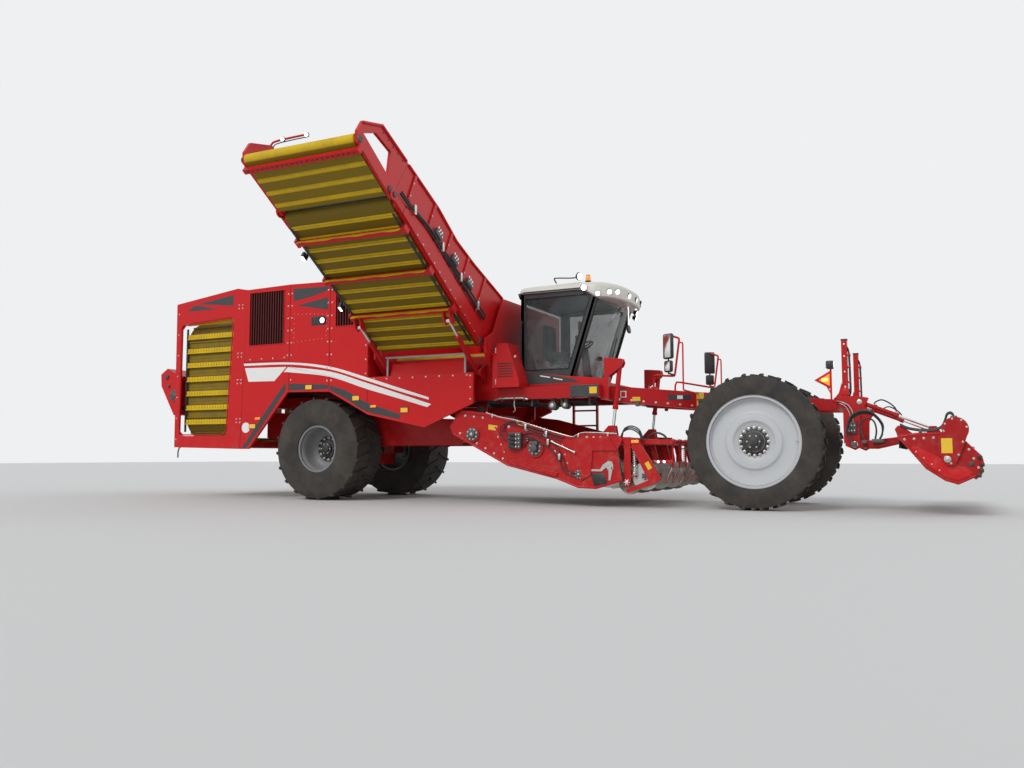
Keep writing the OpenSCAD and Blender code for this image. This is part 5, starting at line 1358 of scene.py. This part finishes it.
        for x, z in ((-4.25, 1.508), (-3.78, 1.395), (-3.30, 1.258), (-2.70, 1.16), (-2.20, 1.172)):
            block(bm, self.spot(x - 0.014, z - 0.05, 0.030), self.spot(x + 0.014, z + 0.012, -0.002), 0.003)
        crescent = [(-2.50, 0.605), (-2.34, 0.60), (-2.29, 0.675), (-2.20, 0.735), (-2.135, 0.725), (-2.115, 0.665),
                    (-2.165, 0.43), (-2.195, 0.43), (-2.195, 0.585), (-2.235, 0.635), (-2.31, 0.57), (-2.50, 0.57)]
        plate(bm, [self.spot(x, z, 0.010) for x, z in crescent], out, 0.006)
        for x, z in ((-2.44, 0.588), (-2.20, 0.68)):
            drum(bm, self.spot(x, z, 0.012), out, 0.016, 0.024, 16, 0.003)
        piece("dig_rail", bm, "steel", "digger")

    def hoses(self):
        """Hoses on the right side's face, and arcs over the front bar."""
        bm = bmesh.new()
        r = sizes().hose
        for i, run in enumerate(self.HOSES):
            line = [self.spot(x, z, 0.030 + 0.010 * (i % 3) + 0.006 * math.sin(7 * x)) for x, z in run]
            pipe(bm, curved(line, 5), r * 0.8)
        for x, z in ((-3.22, 1.04), (-3.02, 0.80), (-3.62, 1.29), (-3.25, 1.17)):
            block(bm, self.spot(x - 0.02, z - 0.05, 0.060), self.spot(x + 0.02, z + 0.05, -0.002), 0.006, 1)
        for k, lift in enumerate((0.0, 0.025, 0.05)):
            arc = [(-2.02, 1.10), (-1.98, 1.19 + lift), (-1.86, 1.235 + lift), (-1.73, 1.17 + lift), (-1.67, 1.06)]
            pipe(bm, curved(at_y(-1.52 + 0.03 * k, arc), 5), r * 0.8)
        for k in range(2):
            arc = [(-1.64, 1.06), (-1.58, 1.14), (-1.47, 1.17), (-1.36, 1.13), (-1.30, 1.055)]
            pipe(bm, curved(at_y(-1.40 + 0.03 * k, [(x, z + 0.012 * k) for x, z in arc]), 5), r * 0.75)
        piece("dig_hoses", bm, ("black", "steel"), "digger")

    def signs(self):
        """Blank plates, side markers and the lamps at the guide."""
        bm = bmesh.new()
        flat = ((-4.33, 1.345), (-4.16, 1.32), (-4.175, 1.235), (-4.335, 1.26))
        plate(bm, [self.spot(x, z, -0.001) for x, z in flat], (0, -1, 0), 0.004)
        along, across = Vector((0.498, 0, -0.867)) * 0.06, Vector((0.867, 0, 0.498)) * 0.035
        tilted = [at(-1.555, -1.585, 0.665) + along * a + across * b for a, b in ((-1, -1), (-1, 1), (1, 1), (1, -1))]
        plate(bm, tilted, (0, -1, 0), 0.003)
        block(bm, self.spot(-3.77, 1.31, 0.028), self.spot(-3.65, 1.35, -0.001), 0.006, 1)
        block(bm, at(-1.82, -1.612, 1.015), at(-1.70, -1.585, 1.06), 0.006, 1)
        piece("dig_signs", bm, ("sign", "orange"), "digger")
        bm = bmesh.new()
        for x in (-1.44, -1.345):
            stack(bm, at(x, -1.430, 0.725), (0, -1, 0),
                  ((0, 0.026, 0.016, 24, 0.003), (0.009, 0.020, 0.006, 24, 0.0, 1)))
        piece("dig_lamps", bm, ("black", "lit"), "digger")

    def tines(self):
        """The guide's tines, polished by soil at their tips, with their clamps, and the coulters' hubs."""
        bm = bmesh.new()
        for i in range(8):
            y = (i - 3.5) * 0.39
            pipe(bm, at_y(y, ((-1.2415, 0.625), (-1.3405, 0.411))), 0.0152)
            drum(bm, at(-1.342, y, 0.408), (-0.42, 0, -0.91), 0.0148, 0.014, 10, 0.004)
            slab(bm, at(-1.2265, y, 1.035), (0.0415, 0.022, 0.04), 0.006, 1)
            bolt(bm, at(-1.2265, y, 1.075), (0, 0, 1), 0.010)
        piece("guide_tips", bm, ("steel", "red"), "digger")
        bm = bmesh.new()
        pitch = 0.7275
        for i in range(-2, 3):
            y = i * pitch
            for dy in (-0.012, 0.018):
                drum(bm, at(-1.64, y + dy, 0.50), (0, 1, 0), 0.062, 0.012, 32, 0.003)
            bolt_ring(bm, at(-1.64, y - 0.018, 0.50), (0, -1, 0), 0.05, 6, 0.007, 1)
        piece("coulter_hubs", bm, ("iron", "steel"), "coulters")


class HARVESTER_OT_topper(bpy.types.Operator):
    """Fit the topper's hood, the masts, hoses, marker and lamps"""
    bl_idname = "harvester.topper"
    bl_label = "Topper and masts"

    MAST_Y = 1.0

    def execute(self, context):
        self.masts()
        self.marker()
        self.hood()
        self.hoses()
        return {"FINISHED"}

    def masts(self):
        """Caps, hoses, clips, gussets and pivots of the masts, and the manifold on the right one."""
        bm = bmesh.new()
        for side in (-1, 1):
            y = side * self.MAST_Y
            slab(bm, at(1.29, y, 2.53), (0.047, 0.052, 0.01), 0.006, 1)
            for z in (1.82, 2.05, 2.28, 2.46):
                drum(bm, at(1.29, side * 1.047, z), (0, side, 0), 0.014, 0.008, 16, 0.002, 2)
            line = [(1.30, 1.70), (1.352, 1.78), (1.356, 2.0), (1.352, 2.25), (1.345, 2.38), (1.30, 2.46)]
            for k in range(2):
                hose = at_y(y - 0.018 + 0.034 * k, [(x + 0.006 * k, z - 0.04 * k) for x, z in line])
                pipe(bm, curved(hose, 6), sizes().hose * 0.9, 10, 1)
            for z in (1.90, 2.12, 2.30):
                slab(bm, at(1.35, y, z), (0.024, 0.045, 0.012), 0.003)
            gusset = ((1.245, 1.665), (1.245, 1.90), (1.20, 1.74), (1.14, 1.665))
            for s in (-1, 1):
                plate(bm, at_y(y + s * 0.046, gusset), (0, s, 0), 0.008)
            # Collar round the mast's foot
            slab(bm, at(1.29, y, 1.75), (0.05, 0.055, 0.05), 0.004)
            for x, z, r in ((1.48, 1.60, 0.038), (1.40, 0.98, 0.045)):
                for s in (-1, 1):
                    drum(bm, at(x, y + s * 0.068, z), (0, 1, 0), r, 0.014, 28, 0.004, 2)
                    bolt(bm, at(x, y + s * 0.076, z), (0, s, 0), 0.010, 2)
        piece("mast_fittings", bm, ("red", "black", "steel"), "chassis")
        bm = bmesh.new()
        block(bm, at(1.30, -1.10, 1.14), at(1.43, -1.058, 1.30), 0.006)
        for i in range(3):
            for j in range(2):
                stack(bm, at(1.325 + 0.04 * i, -1.108, 1.18 + 0.075 * j), (0, -1, 0),
                      ((0, 0.014, 0.024, 6, 0.0, 1), (0.014, 0.009, 0.014, 16, 0.002, 1)))
        for x, y, bend, lift in ((1.345, -1.085, 1.30, 0.0), (1.385, -1.095, 1.33, 0.03)):
            line = ((x, -1.08, 1.30), (x, y, 1.42 + lift * 2 / 3), (bend, y, 1.52 + lift), (1.24, y, 1.57 + lift),
                    (1.14, -1.04, 1.60 + lift))
            pipe(bm, curved([at(*p) for p in line], 5), 0.009, 10, 1)
        piece("mast_manifold", bm, ("iron", "steel"), "chassis")

    def marker(self):
        """Triangular marker with its lamp on a bent post."""
        bm = bmesh.new()
        y = -1.215
        pipe(bm, [at(1.19, -1.04, 1.60), at(1.15, -1.19, 1.60), at(1.112, y, 1.64), at(1.112, y, 2.12)], 0.014, 12)
        pipe(bm, at_y(y, ((1.112, 1.72), (1.02, 1.90))), 0.010)
        plate(bm, at_y(y, ((0.88, 1.925), (1.115, 2.065), (1.115, 1.785))), (0, -1, 0), 0.012, 0, 0.003)
        plate(bm, at_y(-1.226, ((0.945, 1.925), (1.095, 2.015), (1.095, 1.835))), (0, -1, 0), 0.006, 2)
        blocks(bm, ((0.985, -1.244, 1.905, 1.075, -1.230, 1.950, 0.005, 3),
                    (1.055, -1.27, 2.085, 1.155, -1.17, 2.205, 0.014, 1),
                    (1.150, -1.258, 2.10, 1.162, -1.182, 2.19, 0.004, 4)))
        for i in range(4):
            slab(bm, at(1.0525, -1.22, 2.104 + 0.026 * i), (0.0075, 0.042, 0.004), 0.002, 1)
        piece("marker", bm, ("red", "black", "orange", "amber", "clear"), "chassis")

    def hood(self):
        bm = bmesh.new()
        edge = [(1.995, 1.08), (2.24, 1.11), (2.55, 1.115), (2.82, 1.0), (3.00, 0.80), (3.015, 0.74), (2.99, 0.585),
                (2.72, 0.455), (2.565, 0.50), (2.345, 0.655), (2.145, 0.905), (1.995, 1.08)]
        arm = [(2.16, 0.92), (2.20, 0.95), (2.90, 0.60), (2.87, 0.56), (2.72, 0.49), (2.58, 0.53), (2.37, 0.68)]
        # Bolts round the belt cover
        cover = [(2.705 + 0.142 * math.cos(t), 1.170 + 0.142 * math.sin(t)) for t in (0.2, 1.0, 1.8, 2.6, 3.3)]
        cover += [(2.545, 0.98), (2.575, 0.80), (2.64, 0.715), (2.735, 0.83), (2.79, 1.0)]
        for side in (-1, 1):
            out = Vector((0, side, 0))
            pipe(bm, at_y(side * 1.601, edge), 0.009, 8)
            plate(bm, at_y(side * 1.600, arm), out, 0.005)
            for x0, z0, x1, z1, n in ((2.08, 1.04, 2.44, 1.06, 4), (2.22, 0.87, 2.50, 0.62, 4),
                                      (2.86, 0.90, 2.965, 0.66, 3)):
                bolt_row(bm, at(x0, side * 1.601, z0), at(x1, side * 1.601, z1), n, out, 0.011, 1)
            for place in at_y(side * 1.659, cover):
                bolt(bm, place, out, 0.009, 1)
            stack(bm, at(2.60, side * 1.662, 0.77), out,
                  ((0, 0.045, 0.012, 32, 0.003, 1), (0.010, 0.022, 0.014, 20, 0.003, 1)))
        # Ribs across the hood's crown, and hinge strip of its front flap
        blocks(bm, ((2.03, -1.575, 1.085, 2.07, 1.575, 1.145, 0.005), (2.64, -1.575, 1.05, 2.68, 1.575, 1.115, 0.005)))
        bolt_row(bm, at(2.92, -1.50, 0.925), at(2.92, 1.50, 0.925), 14, (0.74, 0, 0.67), 0.012, 1)
        piece("hood_trim", bm, ("red", "steel"), "topper")
        bm = bmesh.new()
        # Rubber curtain behind the rotor and black stops on the nose
        for i in range(16):
            x, y = 2.005 + 0.01 * (i % 2), -1.54 + 0.1925 * i
            strip = ((0.004, 1.07), (0.188, 1.07), (0.188, 0.92 + 0.01 * (i % 3)), (0.004, 0.92))
            plate(bm, [at(x, y + dy, z) for dy, z in strip], (1, 0, 0), 0.008)
        for side in (-1, 1):
            for x, z in ((2.985, 0.80), (3.015, 0.70), (3.005, 0.62), (2.975, 0.555)):
                slab(bm, at(x - 0.004, side * 1.60, z), (0.026, 0.03, 0.025), 0.008)
            plate(bm, at_y(side * 1.600, rectangle(2.885, 0.705, 0.07, 0.06)), (0, side, 0), 0.007, 0, 0.003)
        piece("hood_rubber", bm, "black", "topper")
        bm = bmesh.new()
        plate(bm, at_y(-1.659, rectangle(2.5975, 0.95, 0.135, 0.20)), (0, -1, 0), 0.003)
        piece("hood_sign", bm, "sign", "topper", smooth=False)

    def hoses(self):
        bm = bmesh.new()
        r = sizes().hose
        # Motor on the belt cover, and the pipes that lie on the hood's edge
        drum(bm, at(2.705, -1.50, 1.20), (0, 1, 0), 0.072, 0.20, 32, 0.008, 1)
        block(bm, at(2.655, -1.655, 1.30), at(2.735, -1.56, 1.352), 0.008, 1)
        line = [(2.03, 1.235), (2.13, 1.185), (2.30, 1.155), (2.45, 1.160), (2.545, 1.20), (2.59, 1.29),
                (2.615, 1.365), (2.66, 1.385), (2.695, 1.35)]
        for k in range(2):
            y = -1.59 + 0.03 * k
            pipe(bm, curved(at_y(y, [(x, z + 0.016 * k) for x, z in line]), 5), r)
            slab(bm, at(2.28, y, 1.1575), (0.02, 0.022, 0.0275), 0.004, 1)
        # Loops between the lift arm's pivot and its middle
        for k, y in enumerate((-1.165, -1.195, -1.225)):
            loop = [(1.39, 1.00), (1.31, 1.13), (1.36, 1.33 + 0.02 * k), (1.50, 1.42 + 0.02 * k),
                    (1.66, 1.40 + 0.015 * k), (1.77 + 0.01 * k, 1.27), (1.78, 1.13), (1.74, 1.045)]
            pipe(bm, curved(at_y(y, loop), 6), r * 0.9)
        for y in (-1.10, -1.13):
            loop = [(1.535, 1.03), (1.49, 1.16), (1.50, 1.29), (1.58, 1.355), (1.67, 1.31), (1.70, 1.18), (1.68, 1.05)]
            pipe(bm, curved(at_y(y, loop), 6), r * 0.9)
        blocks(bm, ((1.64, -1.245, 1.005, 1.80, -1.030, 1.055, 0.006, 1),
                    (1.36, -1.245, 0.945, 1.43, -1.080, 1.015, 0.006, 1),
                    (1.50, -1.150, 0.995, 1.57, -1.030, 1.04, 0.006, 1)))
        piece("topper_hoses", bm, ("black", "iron"), "topper")
        bm = bmesh.new()
        line = [(1.665, 1.558), (1.70, 1.60), (1.78, 1.625), (1.88, 1.575), (1.955, 1.50), (1.965, 1.445)]
        for y in (-self.MAST_Y, self.MAST_Y):
            pipe(bm, curved(at_y(y, line), 5), r * 0.8)
            for place in at_y(y, ((1.66, 1.552), (1.965, 1.428))):
                drum(bm, place, (0.38, 0, 0.92), 0.018, 0.04, 16, 0.003, 1)
        piece("topper_cylinder_hoses", bm, ("black", "steel"), "topper_cylinders")


class HARVESTER_OT_frame(bpy.types.Operator):
    """Fit the neck, the deck, the ladder and what hangs below the frame"""
    bl_idname = "harvester.frame"
    bl_label = "Frame and deck"

    # Where the neck's sides bend, their half width before it and how they spread behind it
    BEND, HALF, SLANT = -1.08, 0.43, 0.488

    def execute(self, context):
        self.neck()
        self.deck()
        self.below()
        return {"FINISHED"}

    def on_neck(self, x, z, side=-1, out=0.0):
        """A place on the neck's outer face, which slants behind its bend."""
        if x < self.BEND:
            return at(x, side * (1.04 - (x + 2.33) * self.SLANT), z) + self.facing(x, side) * out
        return at(x, side * (self.HALF + out), z)

    def facing(self, x, side):
        """Which way the neck's face looks there."""
        return Vector((0.4386, side * 0.8987, 0)) if x < self.BEND else Vector((0, side, 0))

    def label(self, bm, x0, z0, x1, z1, index, out=0.0):
        corners = ((x0, z0), (x1, z0), (x1, z1), (x0, z1))
        plate(bm, [self.on_neck(x, z, -1, out - 0.001) for x, z in corners], self.facing(x0, -1), 0.004, index)

    def neck(self):
        """Blank plates, bolts, shackle brackets and hoses of the neck."""
        bm = bmesh.new()
        for row in ((-2.205, 1.775, -2.115, 1.885, 1), (-2.19, 1.79, -2.13, 1.87, 2, 0.002),
                    (-2.025, 1.715, -1.91, 1.785, 0), (-1.50, 1.735, -1.15, 1.825, 3),
                    (-1.36, 1.75, -1.28, 1.81, 1, 0.002), (-1.07, 1.75, -0.95, 1.855, 0),
                    (-1.07, 1.635, -0.95, 1.725, 0)):
            self.label(bm, *row)
        piece("neck_signs", bm, ("sign", "white", "red", "decor"), "chassis", smooth=False)
        bm = bmesh.new()
        for side in (-1, 1):
            for i in range(7):
                x = -2.22 + 0.18 * i
                bolt(bm, self.on_neck(x, 1.77 - 0.095 * (x + 2.48), side), self.facing(-2.22, side), 0.013)
            for i in range(6):
                bolt(bm, at(-0.85 + 0.32 * i, side * self.HALF, 1.615), (0, side, 0), 0.013)
            for x in (-1.95, -0.62):
                slab(bm, self.on_neck(x, 1.675, side), (0.03, 0.02, 0.045), 0.006, 1)
        piece("neck_bolts", bm, ("steel", "iron"), "chassis", smooth=False)
        bm = bmesh.new()
        for side in (-1, 1):
            for k in range(3):
                line = [self.on_neck(x, 1.85 - 0.055 * k + dz, side, -0.215 - 0.03 * k)
                        for x, dz in ((-2.2, 0.0), (-1.9, -0.03), (-1.5, 0.0), (-1.15, -0.02))]
                y = side * (0.222 - 0.03 * k)
                line += at_y(y, [(x, 1.80 - 0.055 * k - 0.05 * (x + 1.0)) for x in (-0.8, -0.3, 0.3, 0.9)])
                pipe(bm, curved(line, 5), sizes().hose)
        piece("neck_hoses", bm, "black", "chassis")

    def deck(self):
        """Tread strips and grips, the hoops beside the ladder, and the side hood's fittings."""
        bm = bmesh.new()
        for i in range(26):
            x = -4.08 + 0.0635 * i
            pipe(bm, [at(x, 1.03, 2.041), at(x, 1.67, 2.041)], 0.004, 6)
        for i in range(5):
            for k in range(3):
                pipe(bm, at_y(1.667 + 0.010 * k, ((-4.07, 0.531 + 0.3 * i), (-3.63, 0.531 + 0.3 * i))), 0.003, 6)
        piece("deck_tread", bm, "steel", "chassis")
        bm = bmesh.new()
        line = [(1.69, 1.05), (1.725, 1.07), (1.735, 1.12), (1.735, 1.84), (1.725, 1.89), (1.69, 1.91)]
        for x in (-4.10, -3.60):
            pipe(bm, [at(x, y, z) for y, z in line], 0.013, 12)
        piece("ladder_hoops", bm, "grey", "chassis")
        bm = bmesh.new()
        for i in range(6):
            slab(bm, at(-4.12, -1.404, 2.167 + 0.045 * i), (0.14, 0.008, 0.007), 0.004)
        for z in (2.08, 2.62):
            drum(bm, at(-4.30, -1.402, z), (0, 0, 1), 0.011, 0.09, 16, 0.002, 1)
        drum(bm, at(-3.93, -1.403, 2.50), (0, -1, 0), 0.022, 0.012, 24, 0.003, 1)
        piece("hood_louvres", bm, ("black", "steel"), "chassis")

    def below(self):
        """Pipes, hoses, hangers and filters under the frame beside the cab."""
        bm = bmesh.new()
        rail = ((-4.42, -1.212, 1.775), (-4.30, -1.216, 1.80), (-3.90, -1.216, 1.80), (-3.78, -1.212, 1.775))
        drain = ((-4.03, -1.215, 1.785), (-4.03, -1.225, 1.68), (-4.01, -1.225, 1.60), (-4.05, -1.225, 1.56))
        for r, sides, line in ((0.018, 12, rail), (0.010, 10, drain)):
            pipe(bm, curved([at(*p) for p in line], 4), r, sides, 1)
        for x in (-4.26, -4.02, -3.84):
            slab(bm, at(x, -1.2125, 1.7925), (0.012, 0.0225, 0.0375), 0.003, 2)
        line = ((-4.9, 1.76), (-4.5, 1.72), (-4.0, 1.74), (-3.5, 1.70), (-3.0, 1.73), (-2.6, 1.72))
        for k in range(5):
            hose = at_y(-1.08 + 0.05 * k, [(x, z - 0.012 * k) for x, z in line])
            pipe(bm, curved(hose, 5), sizes().hose * (0.8 + 0.1 * (k % 3)))
        for x in (-4.6, -3.75, -3.2, -2.7):
            slab(bm, at(x, -0.98, 1.725), (0.02, 0.13, 0.06), 0.005, 2)
        for x, r in ((-3.35, 0.075), (-3.12, 0.06)):
            stack(bm, at(x, -1.09, 1.66), (0, -1, 0),
                  ((0, r, 0.16, 32, 0.008, 2), (0.085, r * 0.5, 0.02, 24, 0.004, 1)))
            slab(bm, at(x, -1.08, 1.7225), (0.03, 0.04, 0.0625), 0.004, 2)
        piece("frame_pipes", bm, ("black", "steel", "iron"), "chassis")


class HARVESTER_OT_stage(bpy.types.Operator):
    """Make the floor, the light and the camera"""
    bl_idname = "harvester.stage"
    bl_label = "Stage"

    # The photograph's camera: focal length in mm, place from the axle, turn in degrees
    LENS = 30.98
    EYE = (2.517, -14.820, 0.811)
    EYE_TURN = (94.68, 0, 25.86)
    # Each sun's strength, turn and spread in degrees
    SUNS = (("key", 1.5, (52, 0, -12), 25), ("fill", 0.5, (60, 0, 120), 60))
    SOFT_SKY = ((0.93, 0.96, 1.0), 0.62)
    SEEN_SKY = ((0.86, 0.87, 0.88), 1.0)

    def execute(self, context):
        scene = bpy.context.scene
        scene.view_settings.view_transform = "Standard"
        bm = bmesh.new()
        bmesh.ops.create_grid(bm, x_segments=1, y_segments=1, size=sizes().floor)
        data = bpy.data.meshes.new("floor")
        bm.to_mesh(data)
        bm.free()
        data.materials.append(Maker("floor").finish(Base_Color=(0.60, 0.60, 0.59, 1), Roughness=0.9))
        floor = bpy.data.objects.new("floor", data)
        scene.collection.objects.link(floor)
        self.sky(scene)
        for name, strength, turn, spread in self.SUNS:
            sun = bpy.data.lights.new(name, "SUN")
            sun.energy, sun.angle = strength, math.radians(spread)
            self.placed(scene, name, sun, (0, 0, 0), turn)
        camera = bpy.data.cameras.new("photo camera")
        camera.lens, camera.sensor_width, camera.clip_end = self.LENS, 36, 500
        scene.camera = self.placed(scene, "photo camera", camera, at(*self.EYE), self.EYE_TURN)
        return {"FINISHED"}

    def placed(self, scene, name, data, location, turn):
        """A lamp or camera in the scene, turned by degrees."""
        obj = bpy.data.objects.new(name, data)
        obj.location = location
        obj.rotation_euler = [math.radians(v) for v in turn]
        scene.collection.objects.link(obj)
        return obj

    def sky(self, scene):
        """A soft sky that lights the machine, and a plain one that cameras and mirroring surfaces see."""
        world = bpy.data.worlds.new("soft sky")
        scene.world = world
        world.use_nodes = True
        tree = world.node_tree
        tree.nodes.clear()

        def node(kind, sources):
            made = tree.nodes.new(kind)
            for place, source in enumerate(sources):
                tree.links.new(source, made.inputs[place])
            return made

        def background(colour, strength):
            made = node("ShaderNodeBackground", ())
            made.inputs["Color"].default_value = (*colour, 1)
            made.inputs["Strength"].default_value = strength
            return made.outputs[0]

        ray = node("ShaderNodeLightPath", ()).outputs
        seen = ray["Is Camera Ray"]
        for other in ("Is Glossy Ray", "Is Transmission Ray"):
            either = node("ShaderNodeMath", (seen, ray[other]))
            either.operation = "MAXIMUM"
            seen = either.outputs[0]
        mixed = node("ShaderNodeMixShader", (seen, background(*self.SOFT_SKY), background(*self.SEEN_SKY)))
        node("ShaderNodeOutputWorld", (mixed.outputs[0],))


class HARVESTER_PT_panel(bpy.types.Panel):
    """The machine's pieces in the order they are made"""
    bl_idname = "HARVESTER_PT_panel"
    bl_label = "Harvester"
    bl_space_type = "VIEW_3D"
    bl_region_type = "UI"
    bl_category = "Harvester"

    def draw(self, context):
        for group in (colours(), sizes()):
            for key in group.bl_rna.properties.keys():
                if key not in ("rna_type", "name"):
                    self.layout.prop(group, key)
        for step in STEPS:
            self.layout.operator(step.bl_idname)


STEPS = (
    HARVESTER_OT_finishes,
    HARVESTER_OT_decor,
    HARVESTER_OT_body,
    HARVESTER_OT_elevator,
    HARVESTER_OT_cab,
    HARVESTER_OT_mirrors,
    HARVESTER_OT_wheels,
    HARVESTER_OT_digger,
    HARVESTER_OT_topper,
    HARVESTER_OT_frame,
    HARVESTER_OT_stage,
)
CLASSES = (HarvesterColours, HarvesterSizes, *STEPS, HARVESTER_PT_panel)


def register():
    for cls in CLASSES:
        bpy.utils.register_class(cls)
    bpy.types.Scene.harvester_colours = bpy.props.PointerProperty(type=HarvesterColours)
    bpy.types.Scene.harvester_sizes = bpy.props.PointerProperty(type=HarvesterSizes)


def unregister():
    del bpy.types.Scene.harvester_colours
    del bpy.types.Scene.harvester_sizes
    for cls in reversed(CLASSES):
        bpy.utils.unregister_class(cls)


def main():
    register()
    for step in STEPS:
        getattr(bpy.ops.harvester, step.bl_idname.split(".")[1])()


if __name__ == "__main__":
    main()
